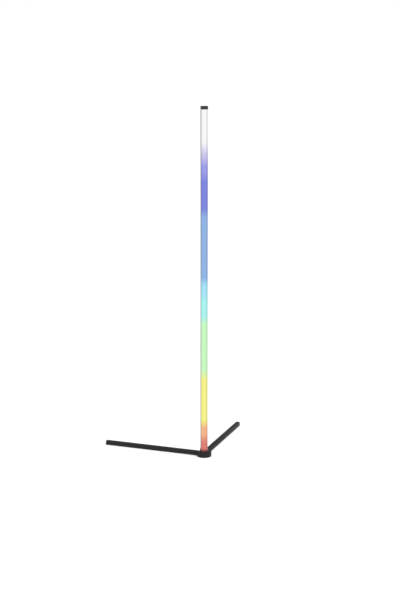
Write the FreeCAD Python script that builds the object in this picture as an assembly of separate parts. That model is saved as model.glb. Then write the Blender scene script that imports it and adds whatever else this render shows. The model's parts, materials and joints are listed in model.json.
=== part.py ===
import FreeCAD, Part
import math
import os

# Corner floor lamp: an upright light bar on a small round hub with two folding legs.
# Sizes are in millimetres. The origin is the centre of the hub's underside, on the floor.
# +Z is up, +X runs along the right leg and +Y along the left leg, so the room's corner,
# which the light faces, lies towards -X -Y.

Vector = FreeCAD.Vector

# Overall
lamp_height = 1400.0
leg_reach = 430.0            # hub centre to the tip of a leg
hub_radius = 29.0
hub_height = 17.5            # floor to the hub's deck, and to the top of the legs
pad_thickness = 1.0          # rubber under the hub and under each leg

# Clearances
slip_fit = 0.15              # between pieces that plug into one another, each side
screw_fit = 0.05             # radial, round a screw
pivot_fit = 0.05             # radial, round a pivot's shoulder
axial_play = 0.05            # between a leg's tongue and each washer
leg_gap = 0.4                # between a folding leg and the hub
window_gap = 0.3             # beside a tongue, at each end of its swing
fold_gap = 1.4               # between the two legs when they are folded
overrun = 1.0                # a cutter past a face, or a boss into the wall that carries it
same_level = 0.001           # an edge this near to a plane lies in it

# Pole section: x is across the pole, y is towards its lit front
pole_width = 23.5
pole_depth = 21.5
front_corner = 5.0
rear_corner = 1.0
channel_depth = 6.9          # how far the black channel wraps round from the back
channel_wall = 1.4
channel_back = 1.5
chamber_depth = 2.2          # closed space behind the web, for joiners and leads
web_thickness = 1.0
diffuser_wall = 1.5
diffuser_foot = 1.2
foot_fit = 0.1               # between a diffuser foot and the channel's side wall

# Pole pieces: the channel's lengths from the floor up, and the bars that join them
section_names = ("channel_lower", "channel_middle", "channel_upper")
joiner_names = ("joiner_lower", "joiner_upper")
joiner_length = 80.0
joiner_thickness = 2.0
joiner_screw_steps = (12.0, 30.0)     # from the joint, both ways
cap_height = 12.5
cap_overhang = 0.75
cap_spigot = 10.0
cap_wall = 1.5
cap_edge = 0.8
collar_height = 13.5
collar_wall = 1.55
collar_tab_width = 6.0
collar_hook = 0.8
collar_hook_height = 1.2
plug_screw_inset = 1.9       # from the side of the foot plug
plug_screw_height = 6.5      # above the deck
plug_screw_length = 10.0

# Light strip
strip_width = 10.0
strip_thickness = 0.3
strip_margin = 1.5           # above the foot plug and below the cap's spigot
led_size = 5.0
led_height = 1.5
led_pitch = 1000.0 / 60.0    # sixty to the metre
first_led = 8.0              # from the strip's end
leds_per_chip = 3
chip_width = 2.0
chip_length = 3.0
chip_height = 0.9

# Hub
hub_wall = 3.0
deck_thickness = 2.2
hub_edge = 1.2
plate_thickness = 2.0
pad_inset = 0.5
base_screw_angle = 58.0      # each side of the front
post_wall = 1.1              # round a base screw's head
post_overlap = 0.2           # how far a post runs into the wall
fold_angle = 45.0

# Pivots
pivot_radius = 3.0
eye_wall = 3.0
tongue_thickness = 4.0
tongue_inset = 0.85          # from the side of the insert
washer_thickness = 0.25
washer_inset = 0.5
pivot_head = 1.4             # wider than the shoulder, each side
pivot_thread_radius = 1.9
pivot_thread_length = 6.0
pivot_boss_wall = 1.5

# Legs
leg_width = 17.0
leg_wall = 1.5
leg_corner = 1.5
leg_inner_corner = 0.6
insert_length = 31.5
insert_corner = 0.7
insert_screw_steps = (12.0, 25.0)     # from the insert's hub end
insert_screw_length = 8.0
end_cap_head = 3.0
end_cap_plug = 12.0
end_cap_edge = 1.0
leg_pad_length = 40.0
leg_pad_width = 11.0
leg_pad_corner = 3.0
leg_pad_inset = 8.0          # from the tip

# Fasteners
m2_radius = 1.0
m2_head_radius = 1.8
m2_head_height = 1.5
m3_radius = 1.5
m3_head_radius = 2.8
hexagon_sides = 6
m3_recess_radius = 1.15
m3_recess_depth = 1.0
base_screw_length = 8.0
bolt_radius = 3.0
bolt_head_radius = 5.0
bolt_head_height = 3.0
bolt_reach = 12.0            # into the foot plug
bolt_recess_radius = 2.3
bolt_recess_depth = 1.6
bolt_washer_radius = 6.0
bolt_washer_thickness = 1.0
bolt_hole_fit = 0.2

# Electrics
jack_radius = 3.7
jack_length = 13.0
jack_axis_drop = 6.0         # below the deck
jack_fit = 0.1
jack_flange_radius = 4.5
jack_flange_thickness = 1.0
jack_block_length = 6.0
jack_block_width = 8.0
jack_bore_radius = 2.85
jack_bore_depth = 9.5
jack_pin_radius = 1.0
jack_pin_recess = 0.6
board_width = 26.0
board_depth = 11.0
board_thickness = 1.2
board_rear = 8.0             # in front of the pole's axis
board_drop = 6.7             # deck to the board's top
standoff_radius = 2.2
standoff_spread = 10.5
standoff_place = 5.5         # from the board's rear edge
board_screw_length = 4.8
terminal_width = 12.0
terminal_depth = 2.0
terminal_height = 3.3
lead_radius = 0.7
lead_bend = 1.2
lead_margin = 0.3            # from a lead to the piece above or below it
inlet_lead_spread = 1.2
strip_lead_spread = 2.4
lead_slot_fit = 0.25
web_hole_height = 4.0
web_hole_start = 3.5         # above the foot plug
processor_size = 7.0
processor_height = 1.0
capacitor_radius = 2.0
capacitor_height = 3.4
capacitor_offset = 5.6

# Worked out from the sizes above
front_turn = 135.0           # turns a piece built with its front at +Y towards the corner
far = 2.0 * hub_radius       # longer than anything in the hub
deck_underside = hub_height - deck_thickness
plate_top = pad_thickness + plate_thickness
tongue_bottom = plate_top + washer_thickness + axial_play
tongue_top = tongue_bottom + tongue_thickness
boss_bottom = tongue_top + axial_play + washer_thickness
eye_radius = pivot_radius + eye_wall
pivot_boss_radius = pivot_radius + pivot_boss_wall

pole_top = lamp_height - cap_height
pole_half = pole_width / 2.0
pole_back = -pole_depth / 2.0
pole_front = pole_depth / 2.0
channel_lip = pole_back + channel_depth
chamber_back = pole_back + channel_back
web_back = chamber_back + chamber_depth
web_front = web_back + web_thickness
tray_half = pole_half - channel_wall
foot_outer = tray_half - foot_fit
foot_inner = foot_outer - diffuser_foot
plug_half = foot_inner - slip_fit
plug_back = web_front + slip_fit
plug_screw_spread = plug_half - plug_screw_inset
plug_front = pole_front - diffuser_wall - slip_fit
plug_corner = front_corner - diffuser_wall
collar_top = hub_height + collar_height
section_count = len(section_names)
section_length = (pole_top - hub_height) / section_count
strip_start = collar_top + strip_margin
strip_end = pole_top - cap_spigot - strip_margin
strip_front = web_front + strip_thickness
led_count = int((strip_end - strip_start - 2.0 * first_led) / led_pitch) + 1

half_leg = leg_width / 2.0
insert_half = half_leg - leg_wall - slip_fit
tongue_half = insert_half - tongue_inset
pivot_offset = (leg_width + fold_gap) / math.sqrt(2.0)
hub_side = math.sqrt(hub_radius ** 2 - half_leg ** 2)
leg_end_radius = math.hypot(hub_side - pivot_offset, half_leg) + leg_gap
leg_end_depth = math.sqrt(leg_end_radius ** 2 - half_leg ** 2)
flat_offset = pivot_offset / math.sqrt(2.0) + leg_end_depth - leg_gap
leg_start = pivot_offset + leg_end_radius
tube_end = leg_reach - end_cap_head

post_radius = m3_head_radius + post_wall
post_distance = hub_radius - hub_wall + post_overlap - post_radius
jack_axis = hub_height - jack_axis_drop
jack_inner = jack_length - flat_offset
board_top = hub_height - board_drop
board_bottom = board_top - board_thickness
bolt_head_bottom = deck_underside - bolt_washer_thickness - bolt_head_height
strip_lead_level = bolt_head_bottom - lead_margin - lead_radius
inlet_lead_level = strip_lead_level - 2.0 * lead_radius - lead_margin
terminal_bottom = inlet_lead_level - lead_radius
lead_slot_half = strip_lead_spread + lead_radius + lead_slot_fit
chamber_middle = (chamber_back + web_back) / 2.0
web_hole_bottom = collar_top + web_hole_start


def box(x_low, x_high, y_low, y_high, z_low, z_high):
    """Block between two corners."""
    corner = Vector(x_low, y_low, z_low)
    return Part.makeBox(x_high - x_low, y_high - y_low, z_high - z_low, corner)


def drum(radius, z_low, z_high, x=0.0, y=0.0):
    """Upright cylinder."""
    return Part.makeCylinder(radius, z_high - z_low, Vector(x, y, z_low))


def cone(radius_low, radius_high, z_low, z_high):
    """Upright cone on the Z axis."""
    return Part.makeCone(radius_low, radius_high, z_high - z_low, Vector(0, 0, z_low))


def turned(shape, degrees):
    """Copy of a shape turned about the Z axis."""
    copy = shape.copy()
    copy.rotate(Vector(0, 0, 0), Vector(0, 0, 1), degrees)
    return copy


def moved(shape, x, y, z):
    """Copy of a shape moved along the axes."""
    copy = shape.copy()
    copy.translate(Vector(x, y, z))
    return copy


def mirrored(shape):
    """Copy of a shape on the other side of the pole's middle plane."""
    return shape.mirror(Vector(0, 0, 0), Vector(1, 0, 0))


def both_sides(shape):
    """A shape joined with its mirror image across the pole's middle plane."""
    return shape.fuse(mirrored(shape))


def facing_front(shape):
    """Turn a shape built with its front at +Y to face the room's corner."""
    return turned(shape, front_turn)


def along_x(shape):
    """Turn X to Y, Y to Z and Z to X, so that an upright piece lies along +X."""
    copy = shape.copy()
    copy.rotate(Vector(0, 0, 0), Vector(1, 1, 1), 120.0)
    return copy


def pushed_in(shape):
    """Turn a piece that points up so that it points along +Y, into the pole's back."""
    copy = shape.copy()
    copy.rotate(Vector(0, 0, 0), Vector(1, 0, 0), -90.0)
    return copy


def rounded_path(points, radii, closed):
    """Straight runs through the points, joined by tangent arcs of the given radii."""
    count = len(points)
    starts = []
    ends = []
    middles = []
    for index in range(count):
        corner = points[index]
        if radii[index] == 0.0:
            starts.append(corner)
            ends.append(corner)
            middles.append(None)
            continue
        back = (points[index - 1] - corner).normalize()
        ahead = (points[(index + 1) % count] - corner).normalize()
        half_angle = back.getAngle(ahead) / 2.0
        inset = radii[index] / math.tan(half_angle)
        inward = (back + ahead).normalize()
        bow = radii[index] / math.sin(half_angle) - radii[index]
        starts.append(corner + back * inset)
        ends.append(corner + ahead * inset)
        middles.append(corner + inward * bow)
    edges = []
    last = count if closed else count - 1
    for index in range(count):
        if middles[index] is not None:
            edges.append(Part.Arc(starts[index], middles[index], ends[index]).toShape())
        if index < last:
            edges.append(Part.LineSegment(ends[index], starts[(index + 1) % count]).toShape())
    return Part.Wire(edges)


def prism(corners, z_low, z_high):
    """Upright prism whose outline has rounded corners, each given as (x, y, radius)."""
    points = [Vector(x, y, z_low) for x, y, radius in corners]
    radii = [radius for x, y, radius in corners]
    outline = rounded_path(points, radii, True)
    return Part.Face(outline).extrude(Vector(0, 0, z_high - z_low))


def rounded_block(half_width, y_low, y_high, radius_low, radius_high, z_low, z_high):
    """Upright block with one corner radius at its back and another at its front."""
    corners = [
        (-half_width, y_low, radius_low),
        (half_width, y_low, radius_low),
        (half_width, y_high, radius_high),
        (-half_width, y_high, radius_high),
    ]
    return prism(corners, z_low, z_high)


def pole_block(growth, z_low, z_high):
    """Block with the pole's outline, grown on every side."""
    return rounded_block(
        pole_half + growth, pole_back - growth, pole_front + growth,
        rear_corner + growth, front_corner + growth, z_low, z_high)


def plug_block(inset, z_low, z_high):
    """Block that fits the light chamber's inside, drawn in on every side."""
    return rounded_block(
        plug_half - inset, plug_back + inset, plug_front - inset,
        0.0, plug_corner - inset, z_low, z_high)


def hub_block(inset, z_low, z_high):
    """Disc with the hub's outline and its rear flat, drawn in by an inset."""
    disc = drum(hub_radius - inset, z_low, z_high)
    return disc.common(box(-far, far, inset - flat_offset, far, z_low, z_high))


def hexagon(radius, z_low, z_high):
    """Upright six-sided prism on the Z axis."""
    corners = []
    for side in range(hexagon_sides):
        angle = 2.0 * math.pi * side / hexagon_sides
        corners.append((radius * math.cos(angle), radius * math.sin(angle), 0.0))
    return prism(corners, z_low, z_high)


def top_edges(shape):
    """Edges that lie in a shape's highest plane."""
    top = shape.BoundBox.ZMax
    return [edge for edge in shape.Edges if edge.BoundBox.ZMin > top - same_level]


def countersunk_cutter(length):
    """Hole for a countersunk screw that enters upwards at z = 0."""
    head_depth = m3_head_radius - m3_radius
    head = cone(m3_head_radius + screw_fit, m3_radius + screw_fit, 0.0, head_depth)
    return head.fuse(drum(m3_radius + screw_fit, 0.0, length))


def countersunk_screw(length):
    """Countersunk screw with its flush head at z = 0 and its tip up."""
    head_depth = m3_head_radius - m3_radius
    head = cone(m3_head_radius, m3_radius, 0.0, head_depth)
    screw = head.fuse(drum(m3_radius, head_depth, length))
    return screw.cut(hexagon(m3_recess_radius, 0.0, m3_recess_depth))


def leg_pivots():
    """Pivot centre and first swing direction of the right and the left leg."""
    return [
        (pivot_offset, 0.0, 0.0),
        (0.0, pivot_offset, fold_angle),
    ]


def base_screw_places():
    """Centres of the hub's two base screws, in the front of the hub."""
    angle = math.radians(base_screw_angle)
    x = post_distance * math.sin(angle)
    y = post_distance * math.cos(angle)
    return [(-x, y), (x, y)]


def tongue_window(x, y, first_angle):
    """Space that a leg's tongue sweeps through the hub's wall."""
    reach = tongue_half + window_gap
    sweep = Part.makeCylinder(far, boss_bottom - plate_top, Vector(0, 0, plate_top),
                              Vector(0, 0, 1), fold_angle)
    bar = box(0.0, far, -reach, reach, plate_top, boss_bottom)
    swept = sweep.fuse(bar).fuse(turned(bar, fold_angle))
    return moved(turned(swept, first_angle), x, y, 0.0)


def lead_slot(z_low, z_high):
    """Slot for the strip's three leads, in line with the channel's chamber."""
    half_depth = lead_radius + lead_slot_fit
    return box(-lead_slot_half, lead_slot_half, chamber_middle - half_depth,
               chamber_middle + half_depth, z_low, z_high)


def collar_tab():
    """Snap tab under one side of the collar, with a hook that points outwards."""
    outer = pole_half + slip_fit + collar_wall
    inner = outer - collar_wall
    half_width = collar_tab_width / 2.0
    tip = deck_underside - collar_hook_height
    stem = box(inner, outer, -half_width, half_width, tip, hub_height + overrun)
    hook_top = deck_underside - screw_fit
    return stem.fuse(box(inner, outer + collar_hook, -half_width, half_width, tip, hook_top))


def tab_slot():
    """Slot in the deck that a collar tab bends through."""
    outer = pole_half + slip_fit + collar_wall
    inner = outer - collar_wall - collar_hook
    half_width = collar_tab_width / 2.0 + slip_fit
    return box(inner, outer + screw_fit, -half_width, half_width, deck_underside, hub_height)


def hub_housing():
    """Round housing with its deck, posts, bosses, tongue windows and inlet hole."""
    shell = hub_block(0.0, pad_thickness, hub_height)
    shell = shell.makeFillet(hub_edge, top_edges(shell))
    shell = shell.cut(hub_block(hub_wall, pad_thickness, deck_underside))
    head_depth = m3_head_radius - m3_radius
    for x, y in base_screw_places():
        post = drum(post_radius, plate_top, deck_underside + overrun, x, y)
        shell = shell.fuse(post)
    for side in (-1, 1):
        standoff = drum(standoff_radius, board_top, deck_underside + overrun,
                        side * standoff_spread, board_rear + standoff_place)
        shell = shell.fuse(standoff)
    for x, y in base_screw_places():
        screw_hole = countersunk_cutter(base_screw_length + head_depth)
        shell = shell.cut(moved(screw_hole, x, y, pad_thickness))
    for side in (-1, 1):
        screw_hole = drum(m2_radius + screw_fit, board_top, board_bottom + board_screw_length,
                          side * standoff_spread, board_rear + standoff_place)
        shell = shell.cut(screw_hole)
    shell = shell.cut(drum(bolt_radius + bolt_hole_fit, deck_underside, hub_height))
    shell = shell.cut(lead_slot(deck_underside, hub_height))
    shell = shell.cut(both_sides(tab_slot()))
    inlet_hole = Part.makeCylinder(jack_radius + jack_fit, hub_wall + 2.0 * overrun,
                                   Vector(0, -flat_offset - overrun, jack_axis), Vector(0, 1, 0))
    shell = facing_front(shell.cut(inlet_hole))
    for x, y, first_angle in leg_pivots():
        boss = drum(pivot_boss_radius, boss_bottom, deck_underside + overrun, x, y)
        shell = shell.fuse(boss)
    for x, y, first_angle in leg_pivots():
        hole_top = boss_bottom + pivot_thread_length + screw_fit
        thread_hole = drum(pivot_thread_radius + screw_fit, boss_bottom, hole_top, x, y)
        shell = shell.cut(thread_hole)
        shell = shell.cut(tongue_window(x, y, first_angle))
    return shell.removeSplitter()


def pivot_cutter(x, y):
    """Countersunk hole in the base plate for a pivot screw."""
    wide = pivot_radius + pivot_head + screw_fit
    narrow = pivot_radius + screw_fit
    head = cone(wide, narrow, pad_thickness, pad_thickness + pivot_head)
    return moved(head.fuse(drum(narrow, pad_thickness, plate_top)), x, y, 0.0)


def hub_base_plate():
    """Steel plate that closes the hub and carries the pivots."""
    plate = facing_front(hub_block(hub_wall + slip_fit, pad_thickness, plate_top))
    for x, y, first_angle in leg_pivots():
        plate = plate.cut(pivot_cutter(x, y))
    for x, y in base_screw_places():
        hole = moved(countersunk_cutter(plate_thickness), x, y, pad_thickness)
        plate = plate.cut(facing_front(hole))
    return plate


def hub_base_screws():
    """Two countersunk screws that hold the base plate."""
    screws = []
    for x, y in base_screw_places():
        screws.append(facing_front(moved(countersunk_screw(base_screw_length), x, y, pad_thickness)))
    return screws


def hub_foot_pad():
    """Rubber sheet under the hub."""
    return facing_front(hub_block(pad_inset, 0.0, pad_thickness))


def pivot_screw():
    """Shoulder screw with a flush head, a plain shoulder and a thinner thread."""
    head = cone(pivot_radius + pivot_head, pivot_radius, pad_thickness, pad_thickness + pivot_head)
    shoulder = drum(pivot_radius, pad_thickness + pivot_head, boss_bottom)
    thread = drum(pivot_thread_radius, boss_bottom, boss_bottom + pivot_thread_length)
    recess = hexagon(bolt_recess_radius, pad_thickness, pad_thickness + bolt_recess_depth)
    return head.fuse(shoulder).fuse(thread).cut(recess)


def pivot_screws():
    """One shoulder screw for each leg."""
    return [moved(pivot_screw(), x, y, 0.0) for x, y, first_angle in leg_pivots()]


def pivot_washers():
    """Thin slide washer under and over each leg's tongue."""
    washers = []
    for x, y, first_angle in leg_pivots():
        for bottom in (plate_top, boss_bottom - washer_thickness):
            top = bottom + washer_thickness
            ring = drum(eye_radius - washer_inset, bottom, top, x, y)
            washers.append(ring.cut(drum(pivot_radius + pivot_fit, bottom, top, x, y)))
    return washers


def pole_bolt():
    """Bolt that pulls the foot plug down on the deck, with its head inside the hub."""
    head_top = bolt_head_bottom + bolt_head_height
    head = drum(bolt_head_radius, bolt_head_bottom, head_top)
    shank = drum(bolt_radius, head_top, hub_height + bolt_reach)
    recess = hexagon(bolt_recess_radius, bolt_head_bottom, bolt_head_bottom + bolt_recess_depth)
    return head.fuse(shank).cut(recess)


def pole_bolt_washer():
    """Washer between the bolt's head and the deck."""
    bottom = deck_underside - bolt_washer_thickness
    ring = drum(bolt_washer_radius, bottom, deck_underside)
    return ring.cut(drum(bolt_radius + bolt_hole_fit, bottom, deck_underside))


def leg_section(inset, x_low, x_high, corner):
    """Square bar along +X with the leg's outline, drawn in by an inset."""
    bar = rounded_block(half_leg - inset, pad_thickness + inset, hub_height - inset,
                        corner, corner, x_low, x_high)
    return along_x(bar)


def leg_end_cutter():
    """Drum round the pivot that shapes a leg's hub end."""
    return drum(leg_end_radius, 0.0, hub_height, pivot_offset, 0.0)


def insert_screw_places():
    """Distances of the insert's screws from the hub's centre."""
    return [leg_start + step for step in insert_screw_steps]


def leg_tube():
    """Square tube with a hollow end that swings round the hub."""
    tube = leg_section(0.0, pivot_offset, tube_end, leg_corner)
    tube = tube.cut(leg_section(leg_wall, pivot_offset, tube_end, leg_inner_corner))
    tube = tube.cut(leg_end_cutter())
    for x in insert_screw_places():
        tube = tube.cut(moved(countersunk_cutter(leg_wall), x, 0.0, pad_thickness))
    return tube


def leg_insert():
    """Block inside the tube with the flat tongue that turns on the pivot."""
    end = leg_start + insert_length
    block = leg_section(leg_wall + slip_fit, pivot_offset, end, insert_corner)
    block = block.cut(leg_end_cutter())
    tongue = box(pivot_offset, end, -tongue_half, tongue_half, tongue_bottom, tongue_top)
    eye = drum(eye_radius, tongue_bottom, tongue_top, pivot_offset, 0.0)
    insert = block.fuse(tongue).fuse(eye)
    insert = insert.cut(drum(pivot_radius + pivot_fit, tongue_bottom, tongue_top, pivot_offset, 0.0))
    for x in insert_screw_places():
        cutter = countersunk_cutter(insert_screw_length + screw_fit)
        insert = insert.cut(moved(cutter, x, 0.0, pad_thickness))
    return insert.removeSplitter()


def leg_insert_screws():
    """Two countersunk screws under the leg."""
    return [moved(countersunk_screw(insert_screw_length), x, 0.0, pad_thickness)
            for x in insert_screw_places()]


def leg_end_cap():
    """Moulded cap with a soft outer edge and a hollow plug."""
    head = leg_section(0.0, tube_end, leg_reach, leg_corner)
    outer_edges = [edge for edge in head.Edges if edge.BoundBox.XMin > leg_reach - same_level]
    head = head.makeFillet(end_cap_edge, outer_edges)
    plug = leg_section(leg_wall + slip_fit, tube_end - end_cap_plug, tube_end, insert_corner)
    hollow = leg_section(2.0 * leg_wall, tube_end - end_cap_plug, tube_end, insert_corner)
    return head.fuse(plug).cut(hollow)


def leg_foot_pad():
    """Rubber pad under the leg's tip."""
    x_high = leg_reach - leg_pad_inset
    x_low = x_high - leg_pad_length
    half = leg_pad_width / 2.0
    corners = [(x_low, -half, leg_pad_corner), (x_high, -half, leg_pad_corner),
               (x_high, half, leg_pad_corner), (x_low, half, leg_pad_corner)]
    return prism(corners, 0.0, pad_thickness)


def pole_collar():
    """Sleeve round the pole's foot, held by a snap tab on each side."""
    sleeve = pole_block(slip_fit + collar_wall, hub_height, collar_top)
    sleeve = sleeve.makeFillet(cap_edge, top_edges(sleeve))
    sleeve = sleeve.fuse(both_sides(collar_tab()))
    return sleeve.cut(pole_block(slip_fit, deck_underside - far, lamp_height)).removeSplitter()


def plug_screw_cutter(length):
    """Hole for one foot plug screw, through the channel's back."""
    hole = pushed_in(countersunk_cutter(length))
    return moved(hole, plug_screw_spread, pole_back, hub_height + plug_screw_height)


def pole_foot_plug():
    """Metal plug inside the pole's foot, threaded for the bolt and two screws."""
    plug = plug_block(0.0, hub_height, collar_top)
    plug = plug.cut(drum(bolt_radius + screw_fit, hub_height, collar_top))
    return plug.cut(both_sides(plug_screw_cutter(plug_screw_length + screw_fit)))


def foot_plug_screws():
    """Two countersunk screws through the channel's back into the foot plug."""
    screw = pushed_in(countersunk_screw(plug_screw_length))
    screw = moved(screw, plug_screw_spread, pole_back, hub_height + plug_screw_height)
    return [screw, mirrored(screw)]


def joint_heights():
    """Heights at which two lengths of channel meet."""
    return [hub_height + section_length * index for index in range(1, section_count)]


def joiner_screw_heights(joint):
    """Heights of the four screws round one joint."""
    return [joint + side * step for step in joiner_screw_steps for side in (-1, 1)]


def channel_profile(z_low, z_high):
    """Channel: side walls, back, closed chamber, and the web that carries the strip."""
    outside = rounded_block(pole_half, pole_back, channel_lip, rear_corner, 0.0, z_low, z_high)
    chamber = box(-tray_half, tray_half, chamber_back, web_back, z_low, z_high)
    tray = box(-tray_half, tray_half, web_front, channel_lip + overrun, z_low, z_high)
    return outside.cut(chamber).cut(tray)


def channel_section(index):
    """One length of the channel, with its screw holes and, in the lowest, the lead hole."""
    z_low = hub_height + section_length * index
    z_high = z_low + section_length
    channel = channel_profile(z_low, z_high)
    for joint in joint_heights():
        for height in joiner_screw_heights(joint):
            if z_low < height < z_high:
                cutter = pushed_in(countersunk_cutter(channel_back))
                channel = channel.cut(moved(cutter, 0.0, pole_back, height))
    if index == 0:
        channel = channel.cut(both_sides(plug_screw_cutter(web_front - pole_back)))
        hole_top = web_hole_bottom + web_hole_height
        channel = channel.cut(box(-lead_slot_half, lead_slot_half, web_back, web_front,
                                  web_hole_bottom, hole_top))
    return channel


def joiner_bar(joint):
    """Flat bar in the chamber that joins two lengths of channel."""
    half_width = tray_half - slip_fit
    bar = box(-half_width, half_width, chamber_back, chamber_back + joiner_thickness,
              joint - joiner_length / 2.0, joint + joiner_length / 2.0)
    for height in joiner_screw_heights(joint):
        cutter = pushed_in(countersunk_cutter(channel_back + joiner_thickness))
        bar = bar.cut(moved(cutter, 0.0, pole_back, height))
    return bar


def joiner_screws():
    """Countersunk screws through the channel's back into the joiner bars."""
    screws = []
    for joint in joint_heights():
        for height in joiner_screw_heights(joint):
            screw = pushed_in(countersunk_screw(channel_back + joiner_thickness))
            screws.append(moved(screw, 0.0, pole_back, height))
    return screws


def diffuser():
    """One-piece opal cover that continues the channel's sides and clips inside them."""
    outside = rounded_block(pole_half, channel_lip, pole_front, 0.0, front_corner,
                            hub_height, pole_top)
    inside = rounded_block(pole_half - diffuser_wall, channel_lip - overrun,
                           pole_front - diffuser_wall, 0.0, front_corner - diffuser_wall,
                           hub_height, pole_top)
    shoulder_top = channel_lip + diffuser_wall
    shoulder = box(foot_inner, pole_half, channel_lip, shoulder_top, hub_height, pole_top)
    foot = box(foot_inner, foot_outer, web_front, shoulder_top, hub_height, pole_top)
    shell = outside.cut(inside).fuse(both_sides(shoulder.fuse(foot)))
    return shell.removeSplitter()


def led_strip():
    """Flexible circuit on the channel's web."""
    half_width = strip_width / 2.0
    return box(-half_width, half_width, web_front, strip_front, strip_start, strip_end)


def led_heights():
    """Heights of the light sources' centres."""
    return [strip_start + first_led + led_pitch * index for index in range(led_count)]


def led_packages():
    """Square light sources along the strip."""
    half = led_size / 2.0
    return [box(-half, half, strip_front, strip_front + led_height, height - half, height + half)
            for height in led_heights()]


def led_driver_chips():
    """Small driver chips, one for each group of light sources."""
    chips = []
    for height in led_heights()[1:-1:leds_per_chip]:
        middle = height + led_pitch / 2.0
        chips.append(box(-chip_width / 2.0, chip_width / 2.0, strip_front,
                         strip_front + chip_height, middle - chip_length / 2.0,
                         middle + chip_length / 2.0))
    return chips


def top_cap():
    """Hollow moulded cap, a little wider than the pole, with a spigot inside it."""
    head = pole_block(cap_overhang, pole_top, lamp_height)
    head = head.makeFillet(cap_edge, top_edges(head))
    spigot = plug_block(0.0, pole_top - cap_spigot, pole_top)
    hollow = plug_block(cap_wall, pole_top - cap_spigot, lamp_height - cap_wall)
    return head.fuse(spigot).cut(hollow)


def dc_jack_body():
    """Power inlet: a round barrel through the hub's rear flat and a square rear block."""
    front = -flat_offset
    axis = Vector(0, 1, 0)
    barrel = Part.makeCylinder(jack_radius, jack_length, Vector(0, front, jack_axis), axis)
    flange_start = front + hub_wall
    flange = Part.makeCylinder(jack_flange_radius, jack_flange_thickness,
                               Vector(0, flange_start, jack_axis), axis)
    flange = flange.common(box(-far, far, -far, far, 0.0, deck_underside))
    half_block = jack_block_width / 2.0
    block = box(-half_block, half_block, jack_inner - jack_block_length, jack_inner,
                inlet_lead_level - lead_radius, deck_underside - axial_play)
    body = barrel.fuse(flange).fuse(block)
    bore = Part.makeCylinder(jack_bore_radius, jack_bore_depth, Vector(0, front, jack_axis), axis)
    return body.cut(bore).removeSplitter()


def dc_jack_pin():
    """Centre pin of the power inlet."""
    start = Vector(0, jack_pin_recess - flat_offset, jack_axis)
    return Part.makeCylinder(jack_pin_radius, jack_bore_depth - jack_pin_recess, start, Vector(0, 1, 0))


def controller_board():
    """Circuit board under the deck, in the front of the hub."""
    board = box(-board_width / 2.0, board_width / 2.0, board_rear, board_rear + board_depth,
                board_bottom, board_top)
    for side in (-1, 1):
        board = board.cut(drum(m2_radius + screw_fit, board_bottom, board_top,
                               side * standoff_spread, board_rear + standoff_place))
    return board


def controller_chips():
    """Processor under the board, and two capacitors above it."""
    middle = board_rear + board_depth / 2.0
    half = processor_size / 2.0
    processor = box(-half, half, middle - half, middle + half,
                    board_bottom - processor_height, board_bottom)
    chips = [processor]
    for side in (-1, 1):
        chips.append(drum(capacitor_radius, board_top, board_top + capacitor_height,
                          side * capacitor_offset, middle))
    return chips


def controller_terminal():
    """Terminal block at the board's rear edge, where all the leads end."""
    half_width = terminal_width / 2.0
    return box(-half_width, half_width, board_rear - terminal_depth, board_rear,
               terminal_bottom, terminal_bottom + terminal_height)


def board_screws():
    """Two small pan-head screws that hold the board."""
    screws = []
    for side in (-1, 1):
        head = drum(m2_head_radius, board_bottom - m2_head_height, board_bottom)
        shank = drum(m2_radius, board_bottom, board_bottom + board_screw_length)
        screws.append(moved(head.fuse(shank), side * standoff_spread,
                            board_rear + standoff_place, 0.0))
    return screws


def lead(points):
    """Insulated lead along straight runs joined by tangent arcs."""
    radii = [0.0] + [lead_bend] * (len(points) - 2) + [0.0]
    path = rounded_path(points, radii, False)
    direction = points[1] - points[0]
    profile = Part.Wire(Part.makeCircle(lead_radius, points[0], direction))
    return path.makePipeShell([profile], True, False)


def inlet_leads():
    """Two leads from the power inlet to the terminal block."""
    leads = []
    for x in (-inlet_lead_spread, inlet_lead_spread):
        start = Vector(x, jack_inner, inlet_lead_level)
        end = Vector(x, board_rear - terminal_depth, inlet_lead_level)
        leads.append(lead([start, end]))
    return leads


def strip_leads():
    """Three leads from the terminal block, up the chamber and to the back of the strip."""
    exit_level = web_hole_bottom + web_hole_height / 2.0
    leads = []
    for x in (-strip_lead_spread, 0.0, strip_lead_spread):
        leads.append(lead([
            Vector(x, board_rear - terminal_depth, strip_lead_level),
            Vector(x, chamber_middle, strip_lead_level),
            Vector(x, chamber_middle, exit_level),
            Vector(x, web_front, exit_level),
        ]))
    return leads


def group(solids):
    """Several separate solids as one shape."""
    return Part.makeCompound(solids)


def hub_nodes():
    """Everything fixed in and under the hub."""
    return {
        "hub_housing": hub_housing(),
        "hub_base_plate": hub_base_plate(),
        "hub_base_screws": group(hub_base_screws()),
        "hub_foot_pad": hub_foot_pad(),
        "pivot_screws": group(pivot_screws()),
        "pivot_washers": group(pivot_washers()),
        "pole_bolt": facing_front(pole_bolt()),
        "pole_bolt_washer": pole_bolt_washer(),
        "dc_jack_body": facing_front(dc_jack_body()),
        "dc_jack_pin": facing_front(dc_jack_pin()),
        "controller_board": facing_front(controller_board()),
        "controller_chips": facing_front(group(controller_chips())),
        "controller_terminal": facing_front(controller_terminal()),
        "board_screws": facing_front(group(board_screws())),
        "inlet_leads": facing_front(group(inlet_leads())),
        "strip_leads": facing_front(group(strip_leads())),
    }


def leg_nodes():
    """Both legs: the left one is the right one turned a quarter."""
    pieces = {
        "leg_tube": leg_tube(),
        "leg_insert": leg_insert(),
        "leg_insert_screws": group(leg_insert_screws()),
        "leg_end_cap": leg_end_cap(),
        "leg_foot_pad": leg_foot_pad(),
    }
    nodes = {}
    for name, shape in pieces.items():
        nodes["right_" + name] = shape
        nodes["left_" + name] = turned(shape, 90.0)
    return nodes


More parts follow.
